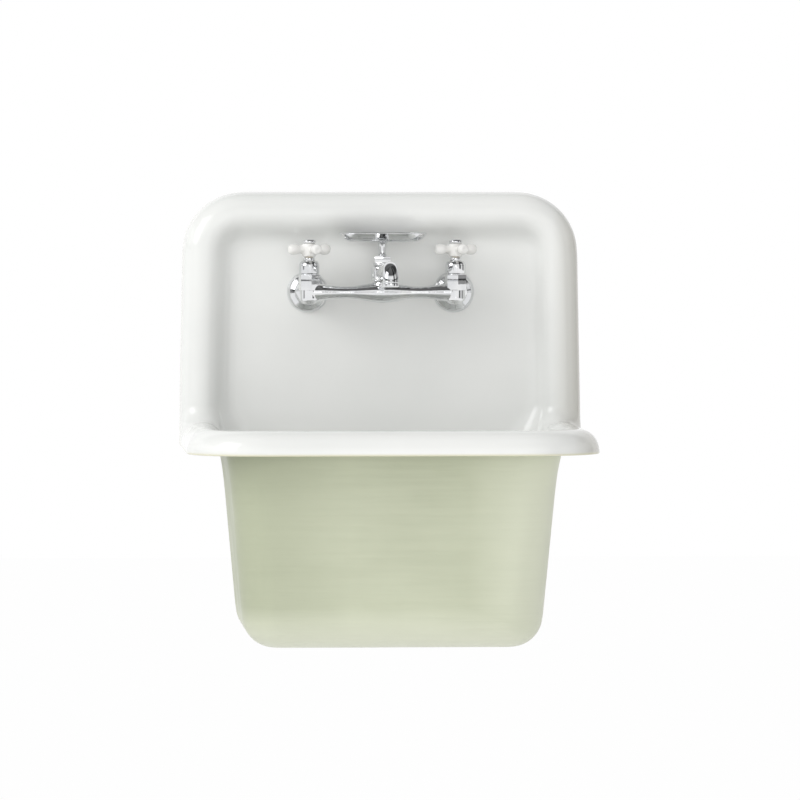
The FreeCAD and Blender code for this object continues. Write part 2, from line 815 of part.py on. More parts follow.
def spout_nut():
    skirt_top = post_top + spout_nut_skirt
    skirt = rod(spout_nut_skirt_radius, post_top, skirt_top, on_tap(0), UP)
    nut = joined([skirt, prism(6, spout_nut_flats, skirt_top, spout_nut_top, on_tap(0), UP)])
    thread_top = post_top + post_thread_length
    nut = nut.cut(rod(post_thread_radius + thread_gap, post_top - overrun, thread_top, on_tap(0), UP))
    return nut.cut(rod(dish_stub_radius + thread_gap, post_top, spout_nut_top + overrun, on_tap(0), UP))


def aerator_shell():
    tip = Vector(0, spout_tip_y, tap_z)
    low = bend_z - aerator_height
    thread = spout_thread_radius + thread_gap
    profile = [(aerator_radius, low), (aerator_radius, bend_z), (thread, bend_z),
               (thread, low + aerator_lip), (aerator_lip_radius, low + aerator_lip),
               (aerator_lip_radius, low)]
    return turned(profile, tip, UP)


def aerator_screen():
    tip = Vector(0, spout_tip_y, tap_z)
    low = bend_z - aerator_height + aerator_lip
    return rod(spout_thread_radius, low, low + screen_thick, tip, UP)


# Soap dish
dish_low = spout_nut_top + dish_post_height


def soap_dish_post():
    thread_top = post_top + post_thread_length
    profile = [(0, thread_top), (dish_stub_radius, thread_top), (dish_stub_radius, spout_nut_top),
               (dish_post_radius, spout_nut_top), (dish_post_radius, dish_low), (0, dish_low)]
    post = turned(profile, on_tap(0), UP)
    drill = rod(dish_screw_shank_radius + thread_gap, dish_low - dish_screw_length - overrun,
                dish_low + overrun, on_tap(0), UP)
    return post.cut(drill)


def dish_block(inset, low, high):
    """A shallow drafted block with round corners, set in from the dish's outline by the inset."""
    slope = math.tan(math.radians(dish_draft_deg))
    across = dish_length / 2 - dish_corner_radius
    deep = dish_width / 2 - dish_corner_radius

    def outline(z):
        radius = dish_corner_radius - inset - slope * (dish_height - z)
        centre = on_tap(0) + UP * (dish_low + z)
        points = []
        for quarter, (right, back) in enumerate([(1, 1), (-1, 1), (-1, -1), (1, -1)]):
            for k in range(dish_bends + 1):
                angle = math.pi / 2 * (quarter + k / dish_bends)
                points.append(centre + RIGHT * (right * across + radius * math.cos(angle))
                              + BACK * (back * deep + radius * math.sin(angle)))
        return points
    ends = [[sum(edge, Vector()) / len(edge)] * len(edge) for edge in (outline(low), outline(high))]
    return skinned([ends[0], outline(low), outline(high), ends[1]])


def soap_dish():
    dish = dish_block(0, 0, dish_height).cut(dish_block(dish_wall, dish_wall, dish_height + overrun))
    floor = (dish_low - overrun, dish_low + dish_wall + overrun)
    slots = []
    for k in range(dish_slots):
        across = (k - (dish_slots - 1) / 2) * dish_slot_pitch
        x = (across - dish_slot_width / 2, across + dish_slot_width / 2)
        y = (tap_y - dish_slot_length / 2, tap_y + dish_slot_length / 2)
        slots.append(box(x, y, (tap_z + floor[0], tap_z + floor[1])))
    slots.append(rod(dish_screw_shank_radius + thread_gap, floor[0], floor[1], on_tap(0), UP))
    return dish.cut(slots)


def soap_dish_screw():
    seat = dish_low + dish_wall
    profile = [(0, dish_low - dish_screw_length), (dish_screw_shank_radius, dish_low - dish_screw_length),
               (dish_screw_shank_radius, seat), (dish_screw_radius, seat),
               (dish_screw_radius, seat + dish_screw_head), (0, seat + dish_screw_head)]
    return turned(profile, on_tap(0), UP)


# Strainer
flange_low = floor_z + floor_gasket_thick
strainer_low = under_z - strainer_below
grid_seat_z = flange_low + strainer_flange - strainer_seat_depth


def strainer_body():
    """A flanged cup whose bore is truly round, since the drain's tailpiece slides into it."""
    top = flange_low + strainer_flange
    profile = [(0, strainer_low), (strainer_radius, strainer_low), (strainer_radius, flange_low),
               (strainer_flange_radius, flange_low), (strainer_flange_radius, top), (0, top)]
    seat = round_rod(strainer_seat_radius, grid_seat_z, top + overrun, drain, UP)
    bore = round_rod(strainer_bore_radius, strainer_low - overrun, top, drain, UP)
    return turned(profile, drain, UP).cut([seat, bore])


def strainer_grid():
    radius = strainer_seat_radius - moving_gap
    top = flange_low + strainer_flange
    grid = round_rod(radius, grid_seat_z, top, drain, UP)
    slots = []
    for k in range(grid_slots):
        across = (k - (grid_slots - 1) / 2) * grid_pitch
        reach = math.sqrt(radius ** 2 - across ** 2) - grid_pitch
        x = (across - grid_slot_width / 2, across + grid_slot_width / 2)
        slots.append(box(x, (drain.y - reach, drain.y + reach), (grid_seat_z - overrun, top + overrun)))
    return grid.cut(slots)


def floor_gasket():
    outer = strainer_flange_radius - floor_gasket_inset
    return tube(outer, strainer_radius + thread_gap, floor_z, flange_low, drain, UP)


def fibre_washer():
    low = under_z - fibre_washer_thick
    return tube(fibre_washer_radius, strainer_radius + thread_gap, low, under_z, drain, UP)


def drain_locknut():
    high = under_z - fibre_washer_thick
    low = high - drain_nut_height
    nut = prism(6, drain_nut_flats, low, high, drain, UP)
    return nut.cut(rod(strainer_radius + thread_gap, low - overrun, high + overrun, drain, UP))


def main():
    os.makedirs("parts", exist_ok=True)
    save("sink_casting", sink_casting())
    save("wall_hanger", wall_hanger())
    save("faucet_body", faucet_body())
    pairs = {"bell_flanges": bell_flange, "supply_shanks": supply_shank, "union_nuts": union_nut,
             "shank_nuts": shank_nut,
             "valve_seats": valve_seat, "bonnets": bonnet, "packing_rings": packing_ring,
             "packing_nuts": packing_nut}
    for name, make in pairs.items():
        save(name, pair(make))
    moving = {"seat_washer": seat_washer, "plunger": plunger, "spindle": spindle,
              "cross_handle": cross_handle, "handle_screw": handle_screw, "index_cap": index_cap}
    for side_name, side in SIDES.items():
        for name, make in moving.items():
            save(side_name + "_" + name, make(side * tap_centres / 2))
    save("spout", spout())
    save("spout_ring", spout_ring())
    save("spout_nut", spout_nut())
    save("aerator_shell", aerator_shell())
    save("aerator_screen", aerator_screen())
    save("soap_dish_post", soap_dish_post())
    save("soap_dish", soap_dish())
    save("soap_dish_screw", soap_dish_screw())
    save("strainer_body", strainer_body())
    save("strainer_grid", strainer_grid())
    save("floor_gasket", floor_gasket())
    save("fibre_washer", fibre_washer())
    save("drain_locknut", drain_locknut())


main()
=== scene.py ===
import bpy
import bmesh
from bmesh.types import BMEdge, BMFace, BMVert
from math import acos, cos, pi, radians, sin, tan
from mathutils import Matrix, Vector


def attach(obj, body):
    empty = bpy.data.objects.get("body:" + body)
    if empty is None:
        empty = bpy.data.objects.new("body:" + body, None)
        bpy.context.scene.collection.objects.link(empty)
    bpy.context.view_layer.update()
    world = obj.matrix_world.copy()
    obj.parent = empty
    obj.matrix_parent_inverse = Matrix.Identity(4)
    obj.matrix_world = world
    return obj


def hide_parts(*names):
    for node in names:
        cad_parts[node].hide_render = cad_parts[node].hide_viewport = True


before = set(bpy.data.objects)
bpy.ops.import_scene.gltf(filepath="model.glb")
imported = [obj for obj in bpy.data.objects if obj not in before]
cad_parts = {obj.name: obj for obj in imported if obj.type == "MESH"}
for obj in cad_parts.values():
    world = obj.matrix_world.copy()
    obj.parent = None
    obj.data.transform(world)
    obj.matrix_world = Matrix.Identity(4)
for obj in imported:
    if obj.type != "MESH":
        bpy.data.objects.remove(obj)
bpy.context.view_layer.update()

# Floor
# A plain pale studio floor well below the hung basin. It keeps the basin's soft shadow, looks white to the
# lens and in the chrome, and is clear to a lens that looks up from below it.
scene = bpy.context.scene
scene.view_settings.view_transform = "Standard"
floor_reach, floor_height = 14.0, -1.15
floor_grey, white_share = 0.85, 0.98


def plain_nodes(name):
    """A new material with nothing in it but its output."""
    mat = bpy.data.materials.new(name)
    mat.use_nodes = True
    tree = mat.node_tree
    tree.nodes.clear()
    return mat, tree, tree.nodes.new("ShaderNodeOutputMaterial")


def feed(tree, socket, value):
    """Links a socket to what another node gives, or sets it to a plain number or colour."""
    if isinstance(value, bpy.types.NodeSocket):
        tree.links.new(value, socket)
    elif isinstance(value, tuple):
        socket.default_value = (*value, 1)
    else:
        socket.default_value = value


def reckoned(tree, operation, a, b):
    """A value worked out at every point from two others."""
    node = tree.nodes.new("ShaderNodeMath")
    node.operation = operation
    feed(tree, node.inputs[0], a)
    feed(tree, node.inputs[1], b)
    return node.outputs[0]


def ray_share(tree, *kinds):
    """1 for a ray of any of the given kinds: seen by the camera, in gloss or in glass."""
    light_path = tree.nodes.new("ShaderNodeLightPath")
    found = light_path.outputs[kinds[0]]
    for kind in kinds[1:]:
        found = reckoned(tree, "MAXIMUM", found, light_path.outputs[kind])
    return found


def shader_mix(tree, share, first, second):
    """One shader that goes over into another with the share."""
    mix = tree.nodes.new("ShaderNodeMixShader")
    for socket, source in zip(mix.inputs, (share, first, second)):
        tree.links.new(source, socket)
    return mix.outputs[0]


floor_mesh = bpy.data.meshes.new("floor")
bm = bmesh.new()
bmesh.ops.create_grid(bm, x_segments=1, y_segments=1, size=floor_reach,
                      matrix=Matrix.Translation((0, 0, floor_height)))
bm.to_mesh(floor_mesh)
bm.free()
floor = bpy.data.objects.new("floor", floor_mesh)
scene.collection.objects.link(floor)
floor_paint, tree, out = plain_nodes("floor_paint")
matt = tree.nodes.new("ShaderNodeBsdfDiffuse")
feed(tree, matt.inputs["Color"], (floor_grey, floor_grey, floor_grey))
glow = tree.nodes.new("ShaderNodeEmission")
feed(tree, glow.inputs["Color"], (1, 1, 1))
clear = tree.nodes.new("ShaderNodeBsdfTransparent")
looked_at = ray_share(tree, "Is Camera Ray", "Is Glossy Ray", "Is Transmission Ray")
topside = shader_mix(tree, reckoned(tree, "MULTIPLY", looked_at, white_share), matt.outputs[0], glow.outputs[0])
from_below = tree.nodes.new("ShaderNodeNewGeometry").outputs["Backfacing"]
tree.links.new(shader_mix(tree, from_below, topside, clear.outputs[0]), out.inputs["Surface"])
floor_mesh.materials.append(floor_paint)

# Studio
# The room round the basin. It lights everything evenly, a little less from the right and from above, and
# is white to the eye and in glass. The gloss mirrors the white backdrop behind and, in front, the room
# with its dark ceiling, its dark rail at eye height and its window posts.
even_strength = 0.95
less_towards = (0.8, 0, 0.6)
even_greys = [(0.0, 1.09), (1.0, 0.56)]
backdrop_from, backdrop_full = 0.55, 0.7
greys_going_up = [(0.0, 0.50), (0.30, 0.75), (0.45, 1.0), (0.525, 1.0), (0.535, 0.14), (0.56, 0.14),
                  (0.57, 1.0), (0.70, 1.0), (0.76, 0.10), (1.0, 0.16)]
greys_going_round = [(0.0, 0.9), (0.03, 0.9), (0.05, 0.2), (0.07, 0.2), (0.09, 1.0), (0.24, 1.0), (0.35, 1.0),
                     (0.362, 0.10), (0.41, 0.10), (0.425, 1.0), (0.445, 1.0), (0.47, 0.30), (0.60, 0.42),
                     (0.64, 1.0)]


def ranged(tree, value, low, high):
    """Spreads a value between low and high over 0 to 1."""
    spread = tree.nodes.new("ShaderNodeMapRange")
    spread.inputs["From Min"].default_value = low
    spread.inputs["From Max"].default_value = high
    tree.links.new(value, spread.inputs["Value"])
    return spread.outputs[0]


def stepped(tree, share, stops):
    """A grey for each value of the share, from (share, grey) stops."""
    ramp = tree.nodes.new("ShaderNodeValToRGB")
    while len(ramp.color_ramp.elements) < len(stops):
        ramp.color_ramp.elements.new(1.0)
    for element, (place, grey) in zip(ramp.color_ramp.elements, stops):
        element.position = place
        element.color = (grey, grey, grey, 1)
    tree.links.new(share, ramp.inputs[0])
    return ramp.outputs[0]


def tone(tree, share, low, high, blend="MIX"):
    """A colour that goes from low to high with the share, or low darkened by high in a MULTIPLY."""
    mix = tree.nodes.new("ShaderNodeMix")
    mix.data_type, mix.blend_type = "RGBA", blend
    colour_sockets = mix.inputs[6], mix.inputs[7]
    feed(tree, mix.inputs[0], share)
    for socket, colour in zip(colour_sockets, (low, high)):
        feed(tree, socket, colour)
    return mix.outputs[2]


world = bpy.data.worlds.new("studio")
scene.world = world
world.use_nodes = True
tree = world.node_tree
tree.nodes.clear()
out = tree.nodes.new("ShaderNodeOutputWorld")
white, even, mirrored = [tree.nodes.new("ShaderNodeBackground") for k in range(3)]
feed(tree, white.inputs["Color"], (1, 1, 1))
feed(tree, even.inputs["Strength"], even_strength)
direction = tree.nodes.new("ShaderNodeTexCoord").outputs["Generated"]
split = tree.nodes.new("ShaderNodeSeparateXYZ")
tree.links.new(direction, split.inputs[0])
around = tree.nodes.new("ShaderNodeTexGradient")
around.gradient_type = "RADIAL"
tree.links.new(direction, around.inputs[0])
room = tone(tree, 1.0, stepped(tree, ranged(tree, split.outputs["Z"], -1, 1), greys_going_up),
            stepped(tree, around.outputs[1], greys_going_round), "MULTIPLY")
behind = ranged(tree, split.outputs["Y"], backdrop_from, backdrop_full)
tree.links.new(tone(tree, behind, room, (1, 1, 1)), mirrored.inputs["Color"])
slope = tree.nodes.new("ShaderNodeVectorMath")
slope.operation = "DOT_PRODUCT"
slope.inputs[1].default_value = less_towards
tree.links.new(direction, slope.inputs[0])
tree.links.new(stepped(tree, ranged(tree, slope.outputs["Value"], -1, 1), even_greys), even.inputs["Color"])
# light that reaches a matt surface by way of the chrome is even too
matt_bounces = tree.nodes.new("ShaderNodeLightPath").outputs["Diffuse Depth"]
first_in_gloss = reckoned(tree, "GREATER_THAN", ray_share(tree, "Is Glossy Ray"), matt_bounces)
lit = shader_mix(tree, first_in_gloss, even.outputs[0], mirrored.outputs[0])
seen = ray_share(tree, "Is Camera Ray", "Is Transmission Ray")
tree.links.new(shader_mix(tree, seen, lit, white.outputs[0]), out.inputs["Surface"])


# Lamps and camera
# One broad soft lamp at the left gives the form, and a thin strip ahead draws the line of light along the
# rim's crest. Weaker lamps low at the right, above and ahead fill the shade and aren't mirrored. A long
# lens looks from a little left of the middle and a little above it, as in a catalogue photograph.
def soft_lamp(name, place, aim, width, height, watts, mirrored_in_gloss):
    """A rectangular lamp at a place, turned to a point, with its sizes in metres."""
    lamp = bpy.data.lights.new(name, "AREA")
    lamp.shape = "RECTANGLE"
    lamp.size, lamp.size_y, lamp.energy = width, height, watts
    holder = bpy.data.objects.new(name, lamp)
    scene.collection.objects.link(holder)
    holder.visible_glossy = mirrored_in_gloss
    turn = (Vector(aim) - Vector(place)).to_track_quat("-Z", "Y")
    holder.matrix_world = Matrix.LocRotScale(Vector(place), turn, None)


for lamp_row in (("left_lamp", (-2.5, -1.5, 1.3), (0, -0.1, -0.1), 1.6, 1.8, 33, True),
                 ("low_lamp", (0.6, -2.2, -1.05), (0.1, -0.3, -0.4), 0.9, 0.4, 4.5, False),
                 ("strip_lamp", (0.15, -3.5, 0.19), (0.15, 0, 0.12), 1.1, 0.22, 1.9, True),
                 ("top_lamp", (0.2, -1.4, 2.6), (0, -0.2, -0.1), 1.8, 1.2, 4, False),
                 ("front_lamp", (0.1, -3.5, -0.1), (0, -0.1, -0.2), 2.0, 1.6, 13, False)):
    soft_lamp(*lamp_row)

aim = Vector((0.0272, -0.030, -0.2208))
yaw, pitch, distance = radians(3.3), radians(1.7), 10.5
film_width, view_width = 36, 1.115
camera = bpy.data.cameras.new("camera")
viewer = bpy.data.objects.new("camera", camera)
scene.collection.objects.link(viewer)
toward = Vector((-sin(yaw) * cos(pitch), -cos(yaw) * cos(pitch), sin(pitch)))
viewer.matrix_world = Matrix.LocRotScale(aim + toward * distance, (-toward).to_track_quat("-Z", "Y"), None)
camera.lens = film_width * distance / view_width
camera.clip_end = 60
scene.camera = viewer

# Casting of the basin
# One piece of grey iron, poured with a high back, a rolled rim that sweeps down the back and round the
# bowl, and a bowl with soft corners; white glass enamel is fused inside and over the roll, and the
# outside of the bowl is brushed with sage paint. Drawn as its glazed skin, which then gets its wall.
RIGHT, FRONT, UP = Vector((1, 0, 0)), Vector((0, -1, 0)), Vector((0, 0, 1))
iron = 7.0
# the roll's crest, up the back and across it, and the crown, where that line goes round the bowl; these
# sizes and those of the other pieces are in millimetres
crest_y, crest_top = -55.0, 39.0
crown_x, crown_z = 249.5, -250.0
# the roll's outer and inner radius and the cove's, and how far behind the crest the roll's back edge ends
roll_out, roll_in, cove = 30.0, 28.0, 25.0
back_lip, rim_lip, lip_band = 55.0, 34.0, 2.0
cove_turn = acos(1 - cove / (roll_in + cove))
cove_width = (roll_in + cove) * sin(cove_turn)
# the flat of the back, the corners over it, and how much further out the back stands at its foot
panel_y, panel_corner, panel_border, beside_cove = -30.0, 9.0, 6.0, 4.0
panel_reach = crown_x - 30
corner_radius = panel_corner + cove_width
taper = 4.0
elbow_y, elbow_z, elbow = -80.0, -225.0, 25.0
elbow_turns = [radians(a) for a in (12, 24, 36.4, 50, 63, 77, 90)]
# the bowl: its corners seen from above, its leaning walls, its floor and the drain hole
plan_radius, front_y = 75.0, -427.0
turn_x, turn_y = crown_x - plan_radius, front_y + plan_radius
lean, draw_in, join_drop = radians(5.2), 3.5, 30.0
join_z = crown_z - join_drop
floor_z, floor_round = -540.0, 36.0
drain_y, drain_rings, above_drain = -150.0, (44, 36, 31), 50
corner_degrees = [11.25 * k for k in range(9)]
# in the hollow corner, where the row's first point lies before the turn and how its points crowd together
before_turn, crowding = 5, 1.4
# places closer than this are the same place
hair = 0.01


def kept(made, kind):
    """The points, the edges or the faces among what an operator made."""
    return [part for part in made if isinstance(part, kind)]


def run_of(bm, places, closed=False):
    """A few points joined in a row or a loop, from which a skin is drawn."""
    points = [bm.verts.new(place) for place in places]
    for a, b in zip(points, points[1:]):
        bm.edges.new((a, b))
    if closed:
        bm.edges.new((points[-1], points[0]))
    return points


def edges_of(bm, chain, closed=False):
    """The edges between the points of a row or a loop, in their order."""
    ends = chain[1:] + chain[:1] if closed else chain[1:]
    return [bm.edges.get((a, b)) for a, b in zip(chain, ends)]


def grown(bm, chain, places, closed=False):
    """Extrudes an ordered run of points once and sets the new points in their places."""
    made = bmesh.ops.extrude_edge_only(bm, edges=edges_of(bm, chain, closed))["geom"]
    fresh = set(kept(made, BMVert))
    follow = [next(e.other_vert(v) for e in v.link_edges if e.other_vert(v) in fresh) for v in chain]
    for v, place in zip(follow, places):
        v.co = place
    return follow


def parted(bm, faces, along, cuts):
    """Cuts faces through at distances along an axis, and gives all the faces that come of them."""
    for cut in cuts:
        edges, points = {e for f in faces for e in f.edges}, {v for f in faces for v in f.verts}
        made = bmesh.ops.bisect_plane(bm, geom=list(faces) + list(edges) + list(points),
                                      plane_co=along * cut, plane_no=along)["geom"]
        faces = kept(made, BMFace)
    return faces


def smoothed(bm):
    """Shades all faces as parts of one round surface."""
    for face in bm.faces:
        face.smooth = True


def to_metres(bm):
    """Scales what is drawn in millimetres to metres."""
    bmesh.ops.scale(bm, vec=(0.001, 0.001, 0.001), verts=bm.verts[:])


def roll_outside(lip):
    """From the hidden lip over the outer quarter of the roll to its crest, as (out, behind)."""
    steps = [(roll_out, lip), (roll_out, lip - lip_band), (roll_out, roll_out + (lip - roll_out) * 0.25)]
    return steps + [(roll_out * sin(a), roll_out - roll_out * cos(a)) for a in
                    [radians(90 - 15 * k) for k in range(7)]]


def inner_quarter(low, high, count):
    """Over the inner quarter of the roll, between two turns from its crest, as (out, behind)."""
    turns = [low + (high - low) * (k + 1) / count for k in range(count)]
    return [(-roll_in * sin(a), roll_in - roll_in * cos(a)) for a in turns]


shared = inner_quarter(0, cove_turn, 4)
cove_run = [(-cove_width + cove * sin(cove_turn * k / 3), cove * cos(cove_turn * k / 3)) for k in (2, 1, 0)]
back_inside = shared + cove_run + [(-cove_width - beside_cove, cove)]
wall_run = inner_quarter(cove_turn, pi / 2 - lean, 3)
wall_end = (wall_run[-1][0] - tan(lean) * (join_drop - wall_run[-1][1]), join_drop)
rim_inside = shared + wall_run + [wall_end]

bm = bmesh.new()
# the back's roll: half of its top, its corner, its side
section = roll_outside(back_lip) + back_inside
corner_x, corner_z = crown_x - taper - corner_radius, crest_top - corner_radius
stations = [(Vector((x, crest_y, crest_top)), UP) for x in (0, 60, 120, 170)]
for angle in corner_degrees:
    a = radians(90 - angle)
    outward = Vector((cos(a), 0, sin(a)))
    stations.append((Vector((corner_x, crest_y, corner_z)) + outward * corner_radius, outward))
for share_down in (0.12, 0.35, 0.65, 0.9, 1.0):
    z = corner_z + (elbow_z - corner_z) * share_down
    stations.append((Vector((crown_x - taper + taper * share_down, crest_y, z)), RIGHT))
places = [[crest + outward * p[0] + Vector((0, p[1], 0)) for p in section] for crest, outward in stations]
chain = run_of(bm, places[0])
for row in places[1:]:
    chain = grown(bm, chain, row)
foot = chain

# the elbow: the part of the section that both runs share, with the square side that meets the wall
in_both = len(section) - len(back_inside) + len(shared)
chain = foot[:in_both]
reach_back, reach_down = -elbow_y, elbow_z - (crown_z - rim_lip)
elbow_low = []
for a in elbow_turns:
    far = min(reach_back / cos(a), reach_down / sin(a)) - elbow
    row = [Vector((crown_x + p[0], elbow_y + (elbow + p[1]) * cos(a), elbow_z - (elbow + p[1]) * sin(a)))
           for p in roll_outside(far) + shared]
    chain = grown(bm, chain, row)
    elbow_low.append(chain[-1])

# the rim: along the side of the bowl, round its front corner, along half of its front
section = roll_outside(rim_lip) + rim_inside
for p in rim_inside[len(shared):]:
    v = bm.verts.new(Vector((crown_x + p[0], elbow_y, crown_z - p[1])))
    bm.edges.new((chain[-1], v))
    chain.append(v)
rim_start = chain
stations = [(Vector((crown_x, y, crown_z)), RIGHT) for y in (-100, -145, -190, -235, -280, -318)]
for angle in corner_degrees:
    a = radians(angle)
    outward = Vector((cos(a), -sin(a), 0))
    stations.append((Vector((turn_x, turn_y, crown_z)) + outward * plan_radius, outward))
stations += [(Vector((x, front_y, crown_z)), FRONT) for x in (160, 110, 55, 0)]
ring = [chain[-1]]
for crest, outward in stations:
    chain = grown(bm, chain, [crest + outward * p[0] + Vector((0, 0, -p[1])) for p in section])
    ring.append(chain[-1])

# the hollow corner between the back, the elbow and the bowl's wall: rows that go from the foot of the
# back's cove and the elbow's low edge down to the line where the bowl begins
wall_radius = plan_radius + wall_end[0]
back_turn_y = panel_y - wall_radius
top = foot[in_both - 1:][::-1] + elbow_low
in_cove = len(foot) - in_both
low_turns = [0, cove_turn / 3, cove_turn * 2 / 3, cove_turn]
low_turns += [cove_turn + (pi / 2 - cove_turn) * (k / len(elbow_turns)) ** crowding
              for k in range(1, len(elbow_turns))]
low = [Vector((turn_x - before_turn, panel_y, join_z))]
low += [Vector((turn_x + wall_radius * sin(a), back_turn_y + wall_radius * cos(a), join_z)) for a in low_turns]
low.append(rim_start[-1].co.copy())
right_side = [v.co.copy() for v in rim_start[in_both - 1:]]
top_places = [v.co.copy() for v in top]
rows = len(right_side) - 1
chain = top
for j in range(1, rows + 1):
    s = j / rows
    soft = s * s * (3 - 2 * s)
    straight_end = top_places[-1] + (low[-1] - top_places[-1]) * s
    row = []
    for i, (a, b) in enumerate(zip(top_places, low)):
        u = max(0, (i - in_cove) / len(elbow_turns))
        mix = soft + (s - soft) * u
        straight = Vector((a.x + (b.x - a.x) * mix, a.y + (b.y - a.y) * mix, a.z + (b.z - a.z) * s))
        row.append(straight + (right_side[j] - straight_end) * u)
    chain = grown(bm, chain, row)
corner_ring = chain

# the bowl: rings down its leaning walls, round its lower edge and over its floor
back_run = run_of(bm, [Vector((x, panel_y, join_z)) for x in (0, 45, 90, 135)])
bm.edges.new((back_run[-1], corner_ring[0]))
bmesh.ops.weld_verts(bm, targetmap={corner_ring[-1]: ring[0]})
chain = back_run + corner_ring[:-1] + ring
base = [v.co.copy() for v in chain]


def bowl_ring(z, shift, inset, back_inset):
    """The bowl's outline at a height, drawn in by shift as the walls lean, and by the insets all round."""
    shrink = (wall_radius - inset) / wall_radius
    places = []
    for n, p in enumerate(base):
        if n <= len(back_run):
            x, y = p.x * (turn_x - shift) / turn_x, panel_y - back_inset
        elif n < len(back_run) + len(corner_ring) - 1:
            x = turn_x - shift + (p.x - turn_x) * (wall_radius - inset) / wall_radius
            y = back_turn_y + (p.y - back_turn_y) * (wall_radius - back_inset) / wall_radius
        elif p.y > turn_y + hair:
            x, y = p.x - shift - inset, p.y
        elif p.x > turn_x - hair:
            x, y = turn_x - shift + (p.x - turn_x) * shrink, turn_y + shift + (p.y - turn_y) * shrink
        else:
            x, y = p.x * (turn_x - shift) / turn_x, p.y + shift + inset
        places.append(Vector((x, y, z)))
    return places


low_centre = floor_z + floor_round
for z, share in ((-290, 0.2), (-305, 0.75), (-330, 1), (-380, 1), (-430, 1), (-480, 1)):
    chain = grown(bm, chain, bowl_ring(z, draw_in * share + tan(lean) * (join_z - z), 0, 0))
shift = draw_in + tan(lean) * (join_z - (low_centre - floor_round * sin(lean)))
for a in [lean] + [radians(t) for t in (20, 34, 48, 62, 76, 90)]:
    chain = grown(bm, chain, bowl_ring(low_centre - floor_round * sin(a), shift,
                                       floor_round * (cos(lean) - cos(a)), floor_round * (1 - cos(a))))
for share_in in (0.06, 0.35):
    chain = grown(bm, chain, [Vector((v.co.x * (1 - share_in), v.co.y + (drain_y - v.co.y) * share_in, floor_z))
                              for v in chain])
drain = Vector((0, drain_y, floor_z))
for radius in drain_rings:
    chain = grown(bm, chain, [drain + (v.co - drain).normalized() * radius for v in chain])
bmesh.ops.mirror(bm, geom=bm.verts[:] + bm.edges[:] + bm.faces[:], matrix=Matrix.Identity(4),
                 merge_dist=hair, axis="X")
bmesh.ops.remove_doubles(bm, verts=bm.verts[:], dist=hair)

# the flat of the back, cut into faces about 50 mm wide so that it subdivides evenly
panel_edges = [e for e in bm.edges if e.is_boundary and
               all(abs(v.co.y - panel_y) < hair and abs(v.co.x) < panel_reach and v.co.z > join_z - 1
                   for v in e.verts)]
panel = bmesh.ops.contextual_create(bm, geom=panel_edges)["faces"]
bmesh.ops.inset_region(bm, faces=panel, thickness=panel_border, use_even_offset=True)
strips = parted(bm, panel, RIGHT, (-165, -110, -55, 0, 55, 110, 165))
parted(bm, strips, UP, (-245, -205, -160, -115, -70, -35))
bmesh.ops.recalc_face_normals(bm, faces=bm.faces[:])
if panel[0].normal.y > 0:
    bmesh.ops.reverse_faces(bm, faces=bm.faces[:])
smoothed(bm)


def next_to(verts):
    """The points that an edge joins to a set of points."""
    return {e.other_vert(v) for v in verts for e in v.link_edges} - verts


# where the enamel runs thin: its edge above the drain, and the two rows of points beside it
lip = bm.verts.layers.float.new("lip")
edge_of_glaze = {v for v in bm.verts if v.is_boundary and v.co.z > floor_z + above_drain}
beside = next_to(edge_of_glaze)
inside = next_to(beside) - edge_of_glaze
for zone, share in ((edge_of_glaze, 1.0), (beside, 0.8), (inside, 0.3)):
    for v in zone:
        v[lip] = share
to_metres(bm)


def piece(name, bm, body, stands_for, materials):
    """Makes the drawn mesh a piece that rides on its body in place of its plain solids."""
    mesh = bpy.data.meshes.new(name)
    bm.to_mesh(mesh)
    bm.free()
    made = bpy.data.objects.new(name, mesh)
    scene.collection.objects.link(made)
    for mat in materials:
        mesh.materials.append(mat)
    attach(made, body)
    if stands_for:
        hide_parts(*stands_for)
    return made


def effect(name, takes, gives):
    """An empty node group for an effect that several finishes share, with its inputs and outputs."""
    group = bpy.data.node_groups.new(name, "ShaderNodeTree")
    for label, value in takes:
        group.interface.new_socket(label, in_out="INPUT", socket_type="NodeSocketFloat").default_value = value
    for label in gives:
        group.interface.new_socket(label, in_out="OUTPUT", socket_type="NodeSocketFloat")
    return group, group.nodes.new("NodeGroupInput"), group.nodes.new("NodeGroupOutput")


def noise_on(tree, size, detail, stretch=(1, 1, 1), turn=(0, 0, 0)):
    """Noise laid over the object's own coordinates; size and detail are numbers or sockets."""
    place = tree.nodes.new("ShaderNodeTexCoord")
    lay = tree.nodes.new("ShaderNodeMapping")
    lay.inputs["Scale"].default_value = stretch
    lay.inputs["Rotation"].default_value = turn
    noise = tree.nodes.new("ShaderNodeTexNoise")
    tree.links.new(place.outputs["Object"], lay.inputs["Vector"])
    tree.links.new(lay.outputs[0], noise.inputs["Vector"])
    feed(tree, noise.inputs["Scale"], size)
    feed(tree, noise.inputs["Detail"], detail)
    return noise.outputs[0]


clouds, given, put = effect("clouds", [("Size", 12.0), ("Detail", 3.0)], ["Cloud"])
clouded = noise_on(clouds, given.outputs[0], given.outputs[1])
clouds.links.new(ranged(clouds, clouded, 0.34, 0.66), put.inputs[0])

# the skin of a melted or cast surface: slow waves with a fine orange peel on them
skin, given, put = effect("skin", [("Waves", 22.0), ("Peel", 420.0), ("Peel share", 0.12)], ["Height"])
fine_peel = reckoned(skin, "MULTIPLY", noise_on(skin, given.outputs[1], 2.0), given.outputs[2])
skin.links.new(reckoned(skin, "ADD", noise_on(skin, given.outputs[0], 1.0), fine_peel), put.inputs[0])

